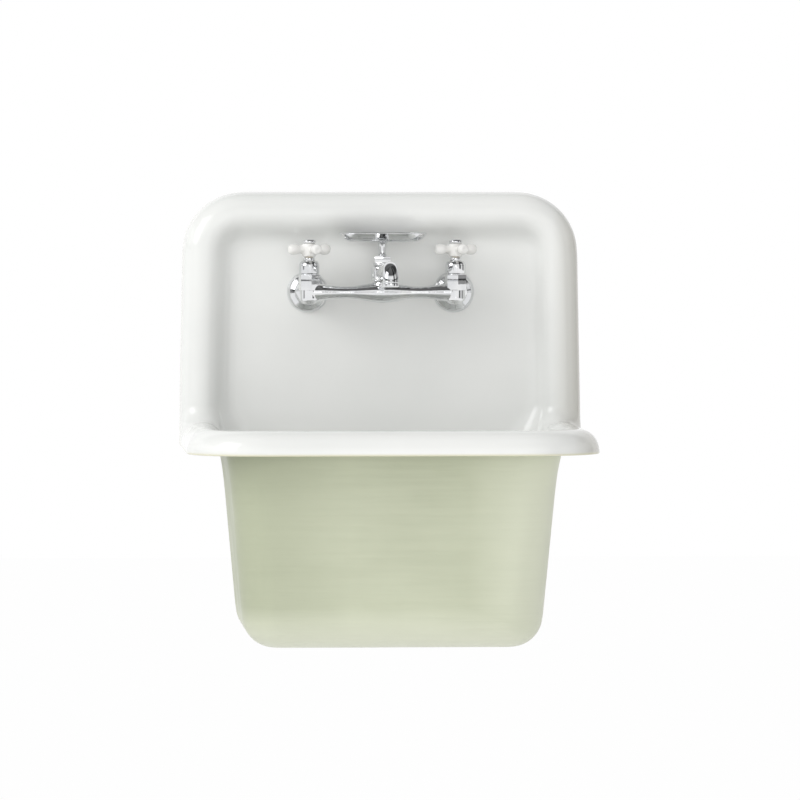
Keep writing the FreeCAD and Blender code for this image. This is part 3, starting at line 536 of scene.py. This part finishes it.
# hairlines left by wiping and cleaning, in three directions
hairlines, given, put = effect("hairlines", [("Size", 90.0)], ["Lines"])
ways = [ranged(hairlines, noise_on(hairlines, given.outputs[0], 2.0, stretch, turn), 0.60, 0.68)
        for stretch, turn in (((0.06, 1, 1), (0.3, 0, 0.5)), ((1, 0.06, 1), (0, 0.4, 0.2)),
                              ((1, 1, 0.06), (0.5, 0.3, 0)))]
two_ways = reckoned(hairlines, "MAXIMUM", ways[0], ways[1])
hairlines.links.new(reckoned(hairlines, "MAXIMUM", two_ways, ways[2]), put.inputs[0])


def placed(tree, group, values):
    """Puts a shared effect in a finish with that finish's own values."""
    node = tree.nodes.new("ShaderNodeGroup")
    node.node_tree = group
    for label, value in values.items():
        node.inputs[label].default_value = value
    return node.outputs[0]


def level(tree, share, low, high):
    """A plain value that goes from low to high with the share."""
    spread = tree.nodes.new("ShaderNodeMapRange")
    spread.inputs["To Min"].default_value = low
    spread.inputs["To Max"].default_value = high
    tree.links.new(share, spread.inputs["Value"])
    return spread.outputs[0]


gloss_patches, gloss_detail, hairline_size = 2.6, 5.0, 90.0


def surface(name, deep, pale, *, cloud, smooth, rough, waves, peel, depth, peel_share=0.12, metal=0.0,
            lines=0.0):
    """A finish that clouds from a deep tone to a pale one and from smooth to rough. Cloud, waves and peel
    say how fine its patches are, depth how deep its skin is in metres, and lines how much its hairlines
    roughen it."""
    mat, tree, out = plain_nodes(name)
    shader = tree.nodes.new("ShaderNodeBsdfPrincipled")
    shader.inputs["Metallic"].default_value = metal
    tree.links.new(shader.outputs[0], out.inputs["Surface"])
    tint = tone(tree, placed(tree, clouds, {"Size": cloud}), deep, pale)
    gloss = level(tree, placed(tree, clouds, {"Size": cloud * gloss_patches, "Detail": gloss_detail}),
                  smooth, rough)
    if lines:
        worn = reckoned(tree, "MULTIPLY", placed(tree, hairlines, {"Size": hairline_size}), lines)
        gloss = reckoned(tree, "ADD", gloss, worn)
    bump = tree.nodes.new("ShaderNodeBump")
    bump.inputs["Distance"].default_value = depth
    tree.links.new(placed(tree, skin, {"Waves": waves, "Peel": peel, "Peel share": peel_share}),
                   bump.inputs["Height"])
    tree.links.new(tint, shader.inputs["Base Color"])
    tree.links.new(gloss, shader.inputs["Roughness"])
    tree.links.new(bump.outputs[0], shader.inputs["Normal"])
    return mat


def opened(mat):
    """The nodes of a finish, its shader and its tint, for what comes on top of them."""
    tree = mat.node_tree
    shader = next(node for node in tree.nodes if node.type == "BSDF_PRINCIPLED")
    return tree, shader, shader.inputs["Base Color"].links[0].from_socket


def reach_along(tree, axis, low, high):
    """How far a point of the object has come along an axis, from 0 at low to 1 at high, in metres."""
    split = tree.nodes.new("ShaderNodeSeparateXYZ")
    tree.links.new(tree.nodes.new("ShaderNodeTexCoord").outputs["Object"], split.inputs[0])
    return ranged(tree, split.outputs[axis], low, high)


# white glass enamel, a little cooler and warmer in clouds, greyed at the roll's right end as painted shade,
# and creamy where it runs thin over the lip
painted_shade_white, cream = (0.66, 0.65, 0.60), (0.70, 0.68, 0.50)
enamel = surface("white_enamel", (0.80, 0.81, 0.79), (0.84, 0.845, 0.825), cloud=5.0, smooth=0.07, rough=0.13,
                 waves=16.0, peel=260.0, depth=0.0007, peel_share=0.05, lines=0.05)
tree, shader, tint = opened(enamel)
thin = tree.nodes.new("ShaderNodeAttribute")
thin.attribute_name = "lip"
# painted shade: the roll's right end is greyed towards a dull white, as if it lay in shade
tint = tone(tree, reach_along(tree, "X", 0.238, 0.275), tint, painted_shade_white)
tree.links.new(tone(tree, thin.outputs["Fac"], tint, cream), shader.inputs["Base Color"])

# sage oil paint, brushed on round the bowl, with faint level brush marks; painted shade darkens it towards
# the left, and painted light makes it paler towards the right and the bottom
mark_sage, painted_shade_sage, painted_light_sage = (0.64, 0.665, 0.51), (0.40, 0.43, 0.30), (0.75, 0.77, 0.63)
mark_strength, painted_shade_strength, mark_depth = 0.22, 0.8, 0.0002
sage = surface("sage_paint", (0.505, 0.535, 0.393), (0.56, 0.59, 0.44), cloud=7.0, smooth=0.34, rough=0.46,
               waves=30.0, peel=500.0, depth=0.0004)
tree, shader, tint = opened(sage)
marks = ranged(tree, noise_on(tree, 60.0, 4.0, (0.12, 0.12, 2.2)), 0.35, 0.65)
tint = tone(tree, reckoned(tree, "MULTIPLY", marks, mark_strength), tint, mark_sage)
# painted shade: the sage is darkened towards the left of the bowl
painted_shade_share = reckoned(tree, "MULTIPLY", reach_along(tree, "X", -0.06, -0.22), painted_shade_strength)
tint = tone(tree, painted_shade_share, tint, painted_shade_sage)
# painted light: the sage is made paler towards the right and towards the bottom of the bowl
painted_light_share = reckoned(tree, "MAXIMUM", reach_along(tree, "X", 0.10, 0.24), reach_along(tree, "Z", -0.49, -0.545))
tree.links.new(tone(tree, painted_light_share, tint, painted_light_sage), shader.inputs["Base Color"])
brushed = tree.nodes.new("ShaderNodeBump")
brushed.inputs["Distance"].default_value = mark_depth
tree.links.new(marks, brushed.inputs["Height"])
tree.links.new(shader.inputs["Normal"].links[0].from_socket, brushed.inputs["Normal"])
tree.links.new(brushed.outputs[0], shader.inputs["Normal"])
casting = piece("basin_casting", bm, "sink", ["sink_casting"], [enamel, sage])

# the iron's thickness behind the glazed skin: painted outside, still enamel along its edge
wall = casting.modifiers.new("iron_wall", "SOLIDIFY")
wall.thickness = iron / 1000
wall.offset = -1
wall.material_offset = 1
wall.material_offset_rim = 0
soften = casting.modifiers.new("cast_softness", "SUBSURF")
soften.levels = soften.render_levels = 2

# Lugs and drain boss of the casting
# Two lugs cast behind the roll of the back, whose tongues drop behind the hanger's hook, and the turned
# boss under the floor round the drain hole; all left in the same paint as the outside.
lug_x, lug_width = 60, 34
lug_line = [(-49.5, 39), (-49.5, 43), (-4.5, 43), (-4.5, 27), (-9.5, 27), (-9.5, 36), (-23, 36), (-24.5, 11.8)]
boss_line = [(31, -548), (43.4, -548), (44, -547.4), (44, -546), (31, -546), (31, -548)]
# a turn this near to straight, in radians, isn't rounded, and a rounding takes up this share of a side
nearly_straight, side_share = 2.95, 0.45


def chamfered(bm, edges, size):
    """Breaks sharp edges with two narrow faces."""
    bmesh.ops.bevel(bm, geom=edges, offset=size, offset_type="OFFSET", segments=2, profile=0.5,
                    affect="EDGES", material=-1)


def eased(profile, soft):
    """Rounds each turning point of a (radius, height) profile by the given length."""
    points = [Vector(p) for p in profile]
    smooth = [points[0]]
    for before, at, after in zip(points, points[1:], points[2:]):
        near, far = before - at, after - at
        if near.length < 1e-6 or far.length < 1e-6 or near.angle(far) > nearly_straight:
            smooth.append(at)
            continue
        give = min(soft, near.length * side_share, far.length * side_share)
        a, b = at + near.normalized() * give, at + far.normalized() * give
        smooth += [a * (1 - t) ** 2 + at * 2 * t * (1 - t) + b * t ** 2 for t in (0, 0.25, 0.5, 0.75, 1)]
    return smooth + [points[-1]]


def turned(bm, profile, centre, axis, soft=0.6, steps=48):
    """Spins a profile of (radius, height) points round an axis through centre."""
    aside = RIGHT if abs(axis.dot(RIGHT)) < 0.5 else UP
    centre = Vector(centre)
    run = run_of(bm, [centre + aside * p[0] + axis * p[1] for p in eased(profile, soft)])
    bmesh.ops.spin(bm, geom=run + edges_of(bm, run), cent=centre, axis=axis, angle=2 * pi, steps=steps,
                   use_merge=True)


def finished(bm, crease=38.0):
    """Closes poles, turns every face outwards, smooths the faces and scales millimetres to metres."""
    bmesh.ops.remove_doubles(bm, verts=bm.verts[:], dist=0.002)
    bmesh.ops.dissolve_degenerate(bm, dist=0.0005, edges=bm.edges[:])
    bmesh.ops.recalc_face_normals(bm, faces=bm.faces[:])
    smoothed(bm)
    for edge in bm.edges:
        if len(edge.link_faces) == 2:
            edge.smooth = edge.calc_face_angle(0) < radians(crease)
    to_metres(bm)
    return bm


bm = bmesh.new()
for side in (-1, 1):
    chain = run_of(bm, [(side * lug_x - lug_width / 2, y, z) for y, z in lug_line], closed=True)
    face = bmesh.ops.contextual_create(bm, geom=edges_of(bm, chain, closed=True))["faces"]
    made = bmesh.ops.extrude_face_region(bm, geom=face)["geom"]
    bmesh.ops.translate(bm, vec=RIGHT * lug_width, verts=kept(made, BMVert))
chamfered(bm, bm.edges[:], size=0.9)
turned(bm, boss_line, (0, drain_y, 0), UP, soft=0.5, steps=64)
piece("basin_lugs_and_boss", finished(bm, crease=40), "sink", [], [sage])

# Tap body
# Two upright valve barrels, the bridge that feeds the hub between them and the hub itself, cast as one
# in brass, ground smooth and chromed; the stubs at the back go into the union nuts.
tap_x, tap_y, tap_z = 101.6, -78.0, -70.0
hub_place = (0, tap_y, tap_z)
valve_places = [(side * tap_x, tap_y, tap_z) for side in (-1, 1)]
# what is turned is drawn as a line of (radius, height) points beside its axis
barrel = [(0, -16), (8.6, -16), (9.4, -13.8), (12.6, -12.4), (13, -9), (13, 8), (12.4, 21.6), (10.5, 21.6),
          (10.5, 24.8), (0, 24.8)]
stub = [(0, 0), (13.1, 0), (13.1, 24), (0, 24)]
bridge = [(0, -101.6), (12, -101.6), (12, -85), (10.4, -76), (8.9, -62), (8.5, -50), (9.2, -38), (11.4, -24),
          (13.8, -12), (14.8, 0)]
bridge += [(r, -h) for r, h in reversed(bridge[:-1])]
hub = [(0, 0), (13, 0), (13, 12), (12.2, 15.2), (0, 15.2)]


def blended(name, bm, grain, rounds):
    """Melts overlapping turned forms into one casting with soft joints; the grain is in metres."""
    raw = bpy.data.meshes.new(name + "_raw")
    bm.to_mesh(raw)
    bm.free()
    holder = bpy.data.objects.new(name + "_raw", raw)
    scene.collection.objects.link(holder)
    melt = holder.modifiers.new("melt", "REMESH")
    melt.mode, melt.voxel_size, melt.use_smooth_shade = "VOXEL", grain, True
    rub = holder.modifiers.new("rub", "SMOOTH")
    rub.factor, rub.iterations = 0.5, rounds
    bpy.context.view_layer.update()
    done = bmesh.new()
    done.from_mesh(bpy.data.meshes.new_from_object(holder.evaluated_get(
        bpy.context.evaluated_depsgraph_get())))
    bpy.data.objects.remove(holder)
    smoothed(done)
    return done


bm = bmesh.new()
for place in valve_places:
    turned(bm, barrel, place, UP, soft=1.6)
    turned(bm, stub, place, -FRONT, soft=0.8)
turned(bm, bridge, hub_place, RIGHT, soft=4)
turned(bm, hub, hub_place, UP, soft=1.0)
chrome = surface("chrome_plate", (0.72, 0.73, 0.745), (0.84, 0.845, 0.85), cloud=30.0, smooth=0.03,
                 rough=0.09, waves=55.0, peel=900.0, depth=0.00012, metal=1.0, lines=0.10)
body = blended("tap_body", finished(bm), grain=0.0008, rounds=12)
piece("tap_body", body, "sink", ["faucet_body"], [chrome])

# Bell flanges
# Spun brass bells, chromed, one on each supply shank. They slide along the shank up to the back and cover
# the hole that it comes through.
shank_places = [(side * tap_x, panel_y, tap_z) for side in (-1, 1)]
bell = [(11.1, 15), (11.1, 17.8), (15.2, 17.8), (15.8, 16.5), (16.6, 14.6), (18.6, 12.4), (21.6, 10.4),
        (24.6, 8.4), (27.2, 5.6), (28.7, 2.4), (29, 0.0), (27.4, 0.0)]


def turned_piece(name, profile, places, axis, body, node, mat, soft=0.6, steps=48, crease=38.0):
    """A piece that is a turned profile and nothing more, at one place or at two."""
    bm = bmesh.new()
    for place in places:
        turned(bm, profile, place, axis, soft, steps)
    piece(name, finished(bm, crease), body, [node], [mat])


turned_piece("bell_flanges_spun", bell, shank_places, FRONT, "sink", "bell_flanges", chrome,
             soft=0.8, steps=64)


# Union nuts
# Hexagon nuts, forged in brass, chamfered and chromed. They draw the stubs of the tap body on to the
# shanks in front of the bells.
def hexagon(bm, flats, low, high, centre, axis, chamfer, turn=0.0):
    """A solid hexagon over two heights of an axis, with the corners of both its ends cut back."""
    corner = flats / 2 / cos(pi / 6)
    upright = axis.to_track_quat("Z", "X").to_matrix().to_4x4()
    place = Matrix.Translation(Vector(centre) + axis * (low + high) / 2)
    place = place @ upright @ Matrix.Rotation(turn, 4, "Z")
    made = bmesh.ops.create_cone(bm, cap_ends=True, segments=6, radius1=corner, radius2=corner,
                                 depth=high - low, matrix=place)["verts"]
    rims = [e for e in {e for v in made for e in v.link_edges}
            if abs((e.verts[0].co - e.verts[1].co).dot(axis)) < 1e-4]
    chamfered(bm, rims, chamfer)


bm = bmesh.new()
for place in shank_places:
    hexagon(bm, flats=32, low=18, high=33, centre=place, axis=FRONT, chamfer=1.1)
piece("union_nuts_forged", finished(bm, crease=28), "sink", ["union_nuts"], [chrome])

# Hexagons of the barrels, bonnets and packing nuts
# Forged hexagons on the barrels, for a spanner; turned brass bonnets with a spigot in the barrel's mouth
# and a rounded shoulder; and the small round nuts that press the packing on to the spindles; all chromed.
bonnet = [(0, 25.1), (11.6, 25.1), (11.6, 21.8), (12.7, 21.8), (12.7, 25.6), (14.0, 26.4), (14.25, 28),
          (14.25, 37.6), (13.5, 40.6), (11.8, 42.8), (9.6, 43.7), (5.5, 43.7), (5.5, 42), (0, 42)]
packing_nut = [(5.4, 42.6), (7.4, 42.6), (7.4, 43.7), (8.2, 43.9), (8.2, 47.6), (7.2, 48.8), (5.5, 48.8),
               (5.4, 42.6)]
bm = bmesh.new()
for place in valve_places:
    hexagon(bm, flats=26.8, low=2.8, high=24.6, centre=place, axis=UP, chamfer=0.9, turn=radians(10))
piece("barrel_hexagons", finished(bm, crease=28), "sink", [], [chrome])
turned_piece("bonnets_turned", bonnet, valve_places, UP, "sink", "bonnets", chrome,
             soft=1.0, crease=30)
turned_piece("packing_nuts_turned", packing_nut, valve_places, UP, "sink", "packing_nuts", chrome,
             soft=0.5)

# Cross handles
# Porcelain, pressed in a mould and glazed: a round hub with four arms that thin at the neck and end in
# a ball. Each has a chromed brass button in its top that covers the screw.
handle_turn, arm_height = 20, 59.7
handle_hub = [(0, 49.4), (7.6, 49.4), (9.4, 50.6), (10.1, 53.5), (10.1, 65.0), (9.4, 67.3), (7.3, 68.1),
              (0, 68.1)]
arm = [(0, 0), (5.9, 0), (5.3, 9), (4.9, 13.2), (5.7, 16), (7.0, 18.6), (7.55, 22), (7.3, 26), (6.2, 29),
       (4.2, 30.7), (0, 31)]
button = [(0, 66), (6.7, 66), (6.7, 68.2), (8.6, 68.2), (9.4, 69.0), (9.4, 71.2), (8.8, 72.3), (6.6, 73.4),
          (3.6, 74.1), (0, 74.3)]
porcelain = surface("handle_porcelain", (0.80, 0.79, 0.76), (0.87, 0.865, 0.845), cloud=60.0, smooth=0.05,
                    rough=0.12, waves=70.0, peel=900.0, depth=0.00015, lines=0.04)
for side_name, place in zip(("hot", "cold"), valve_places):
    bm = bmesh.new()
    turned(bm, handle_hub, place, UP, soft=1.4)
    for k in range(4):
        arm_way = Matrix.Rotation(radians(handle_turn + 90 * k), 3, "Z") @ RIGHT
        turned(bm, arm, Vector(place) + UP * arm_height, arm_way, soft=1.6, steps=32)
    handle = blended(side_name + "_cross", finished(bm), grain=0.0006, rounds=8)
    piece(side_name + "_cross_glazed", handle, side_name + "_handle", [side_name + "_cross_handle"],
          [porcelain])
    turned_piece(side_name + "_button", button, [place], UP, side_name + "_handle", side_name + "_index_cap",
                 chrome, soft=0.7)

# Swing spout
# A drawn brass tube with a bend at its end, brazed into a turned collar that swivels on the hub, with a
# ringed outlet screwed on its tip; all chromed.
collar = [(9.5, 15.7), (14.4, 15.7), (15.4, 16.6), (15.4, 19), (14.9, 20.2), (15.4, 21.4), (15.4, 34.4),
          (14.2, 36.4), (12.4, 37.1), (9.5, 37.1), (9.5, 15.7)]
outlet = [(8.0, 18.9), (11.1, 18.9), (11.4, 17.9), (11.4, 16.4), (10.9, 15.9), (11.4, 15.4), (11.4, 11.6),
          (10.9, 10.2), (9.0, 9.9), (8.0, 9.9), (8.0, 18.9)]
# from the hub to the tip, the tube's rise, its bend, and how far inside the collar it starts
reach, rise, bend = 203.0, radians(2.5), 15.0
tube_radius, tube_height, root = 10.2, 19.0, 8
bm = bmesh.new()
turned(bm, collar, hub_place, UP, soft=0.8, steps=64)
tip_y = tap_y - reach
pivot = Vector((0, tip_y + bend, tap_z + tube_height))
along = Vector((0, -cos(rise), sin(rise)))
start_of_bend = pivot + Vector((0, sin(rise) * -bend, cos(rise) * bend))
start = start_of_bend - along * ((tap_y - root - start_of_bend.y) / cos(rise))
place = Matrix.Translation(start) @ along.to_track_quat("Z", "X").to_matrix().to_4x4()
loop = bmesh.ops.create_circle(bm, cap_ends=True, segments=48, radius=tube_radius, matrix=place)["verts"]
rim = list({e for v in loop for e in v.link_edges})
for share, swell in ((0.25, 1.04), (0.5, 1.04), (0.25, 1.0)):
    made = bmesh.ops.extrude_edge_only(bm, edges=rim)["geom"]
    fresh = kept(made, BMVert)
    bmesh.ops.translate(bm, vec=(start_of_bend - start) * share, verts=fresh)
    middle = sum((v.co for v in fresh), Vector()) / len(fresh)
    bmesh.ops.scale(bm, vec=(swell, swell, swell), verts=fresh, space=Matrix.Translation(-middle))
    rim = [e for e in kept(made, BMEdge) if abs((e.verts[0].co - e.verts[1].co).dot(along)) < hair]
made = bmesh.ops.spin(bm, geom=rim + list({v for e in rim for v in e.verts}), cent=pivot, axis=RIGHT,
                      angle=pi / 2 + rise, steps=12)["geom_last"]
bmesh.ops.contextual_create(bm, geom=kept(made, BMEdge))
piece("spout_tube", finished(bm), "swing_spout", ["spout"], [chrome])
turned_piece("outlet_ring", outlet, [(0, tip_y, tap_z)], UP, "swing_spout", "aerator_shell", chrome,
             soft=0.3)

# Spout nut and soap dish post
# A chromed hexagon nut with a round skirt keeps the spout on the hub; a thin turned post stands in it
# and carries the dish.
skirt = [(0, 37.6), (12.2, 37.6), (12.9, 38.4), (12.9, 40.4), (12.0, 41.3), (0, 41.3)]
post = [(0, 45), (4.9, 45), (4.9, 50.2), (5.7, 50.8), (5.7, 52.0), (5.0, 52.8), (4.9, 58), (5.0, 64.5),
        (6.0, 67.4), (8.6, 69.3), (0, 69.6)]
bm = bmesh.new()
turned(bm, skirt, hub_place, UP, soft=0.5, steps=64)
hexagon(bm, flats=22, low=41.0, high=49.6, centre=hub_place, axis=UP, chamfer=0.9)
piece("spout_nut_forged", finished(bm, crease=28), "sink", ["spout_nut"], [chrome])
turned_piece("dish_post_turned", post, [hub_place], UP, "sink", "soap_dish_post", chrome, soft=0.8)

# Soap dish
# A shallow oval dish, cast in brass with a rolled lip and four drain slots, chromed and held on its
# post by one screw.
dish_z = tap_z + 69.7
across, deep = 27.5, 5.0
lip_radius, lip_height = 33.9, 12.6
dish_line = [(33.7, 11.9), (33.0, 10.6), (31.7, 8.4), (30.1, 6.2), (28.2, 4.2), (26.0, 2.5), (23.4, 1.2),
             (20.6, 0.4), (18.0, 0.05)]
slots, slot_side, slot_end = (-22.5, -7.5, 7.5, 22.5), 2.5, 19
dish_wall, dish_edge = 1.9, 0.4


def oval(radius, z, steps=10):
    """One quarter turn at each corner, joined by straight sides, as a closed loop of places."""
    places = []
    for quarter, (right, back) in enumerate([(1, 1), (-1, 1), (-1, -1), (1, -1)]):
        for k in range(steps + 1):
            a = pi / 2 * (quarter + k / steps)
            places.append(Vector((right * across + radius * cos(a), tap_y + back * deep + radius * sin(a), z)))
    return places


bm = bmesh.new()
chain = run_of(bm, oval(lip_radius, dish_z + lip_height), closed=True)
for radius, height in dish_line:
    chain = grown(bm, chain, oval(radius, dish_z + height), closed=True)
bottom = bmesh.ops.contextual_create(bm, geom=edges_of(bm, chain, closed=True))["faces"]
bottom = parted(bm, bottom, RIGHT, [x + d for x in slots for d in (-slot_side, slot_side)])
bottom = parted(bm, bottom, -FRONT, (tap_y - slot_end, tap_y + slot_end))
gaps = []
for face in bottom:
    middle = face.calc_center_median()
    if abs(middle.y - tap_y) < slot_end and any(abs(middle.x - x) < slot_side for x in slots):
        gaps.append(face)
bmesh.ops.delete(bm, geom=gaps, context="FACES")
bmesh.ops.recalc_face_normals(bm, faces=bm.faces[:])
if sum(f.normal.z * f.calc_area() for f in bm.faces) > 0:
    bmesh.ops.reverse_faces(bm, faces=bm.faces[:])
smoothed(bm)
to_metres(bm)
dish = piece("soap_dish_cast", bm, "sink", ["soap_dish"], [chrome])
wall = dish.modifiers.new("brass_wall", "SOLIDIFY")
wall.thickness, wall.offset = dish_wall / 1000, -1
edge = dish.modifiers.new("eased_edges", "BEVEL")
edge.width, edge.segments = dish_edge / 1000, 2
edge.limit_method, edge.angle_limit = "ANGLE", radians(40)

# Strainer
# A chromed brass cup strainer, turned, let into the hole in the bowl's floor. Its slotted grid is stainless
# steel and pressed in flush.
drain_places = [(0, drain_y, 0)]
cup = [(22, -556.5), (29.6, -556.5), (30, -555.9), (30, -538.6), (39.2, -538.6), (39.9, -537.9), (39.2, -536.9),
       (35, -536.0), (27.5, -536.05), (26.2, -536.6), (26.1, -538), (22, -538), (22, -556.5)]
turned_piece("strainer_cup", cup, drain_places, UP, "sink", "strainer_body", chrome,
             soft=0.4, steps=72)


def dressed(nodes, mat):
    """Gives the plain solids that stay as they are their finish."""
    for name in nodes:
        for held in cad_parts[name].material_slots:
            held.material = mat


stainless = surface("drawn_stainless", (0.50, 0.50, 0.49), (0.62, 0.62, 0.61), cloud=40.0, smooth=0.16,
                    rough=0.28, waves=90.0, peel=1500.0, depth=0.0001, metal=1.0, lines=0.25)
dressed(["strainer_grid", "aerator_screen"], stainless)

# Seals of the strainer, its locknut and what the tap hides
# A black rubber ring under the strainer's flange, a red fibre washer under the boss and the forged brass
# nut that draws them tight, left as it was turned. The seals, spindles, plungers and screws inside the tap
# and the nuts behind the back are of the same rubber and brass.
seal_ring = [(31.2, -539.9), (38.4, -539.9), (38.5, -538.7), (31.2, -538.6), (31.2, -539.9)]
fibre_ring = [(30.4, -549.9), (37.6, -549.9), (38, -549.6), (38, -548.4), (37.6, -548.1), (30.4, -548.1),
              (30.4, -549.9)]
rubber = surface("black_rubber", (0.018, 0.018, 0.019), (0.042, 0.041, 0.040), cloud=45.0, smooth=0.55,
                 rough=0.75, waves=120.0, peel=1600.0, depth=0.0002, peel_share=0.4)
fibre = surface("red_fibre", (0.22, 0.055, 0.035), (0.36, 0.11, 0.07), cloud=90.0, smooth=0.70, rough=0.86,
                waves=300.0, peel=2200.0, depth=0.0003, peel_share=0.7)
brass = surface("machined_brass", (0.50, 0.36, 0.15), (0.72, 0.55, 0.27), cloud=70.0, smooth=0.20, rough=0.34,
                waves=260.0, peel=2400.0, depth=0.0001, metal=1.0, lines=0.12)
turned_piece("floor_seal_ring", seal_ring, drain_places, UP, "sink", "floor_gasket", rubber,
             soft=0.2, steps=72)
turned_piece("fibre_ring", fibre_ring, drain_places, UP, "sink", "fibre_washer", fibre,
             soft=0.2, steps=72)
dressed(["drain_locknut", "shank_nuts", "valve_seats", "hot_spindle", "cold_spindle", "hot_plunger",
         "cold_plunger", "hot_handle_screw", "cold_handle_screw"], brass)
dressed(["packing_rings", "spout_ring", "hot_seat_washer", "cold_seat_washer"], rubber)
dressed(["soap_dish_screw"], chrome)

# Supply shanks
# Brass tubes turned with a collar that the union nut pulls on; they pass through the back, and their
# threaded tails take the supplies behind it.
thread_from, thread_pitch, thread_turns = -27.6, 1.7, 7
shank = [(6.5, -28), (9.7, -28)]
for k in range(thread_turns):
    ridge = thread_from + thread_pitch * k
    shank += [(9.9, ridge), (10.5, ridge + 0.5), (10.5, ridge + 0.8), (9.9, ridge + 1.3)]
shank += [(9.6, -15.8), (9.6, -15.0), (11, -14.9), (11, 21), (13, 21), (13, 24), (6.5, 24), (6.5, -28)]
turned_piece("supply_tubes", shank, shank_places, FRONT, "sink", "supply_shanks", brass, soft=0.15)

# Wall hanger
# A length of cast-iron angle with an upturned hook, held to the wall by four screws, japanned black and
# left rough from the sand.
japan = surface("japanned_iron", (0.030, 0.030, 0.031), (0.075, 0.073, 0.070), cloud=35.0, smooth=0.42,
                rough=0.62, waves=240.0, peel=1300.0, depth=0.0006, peel_share=0.6)
dressed(["wall_hanger"], japan)
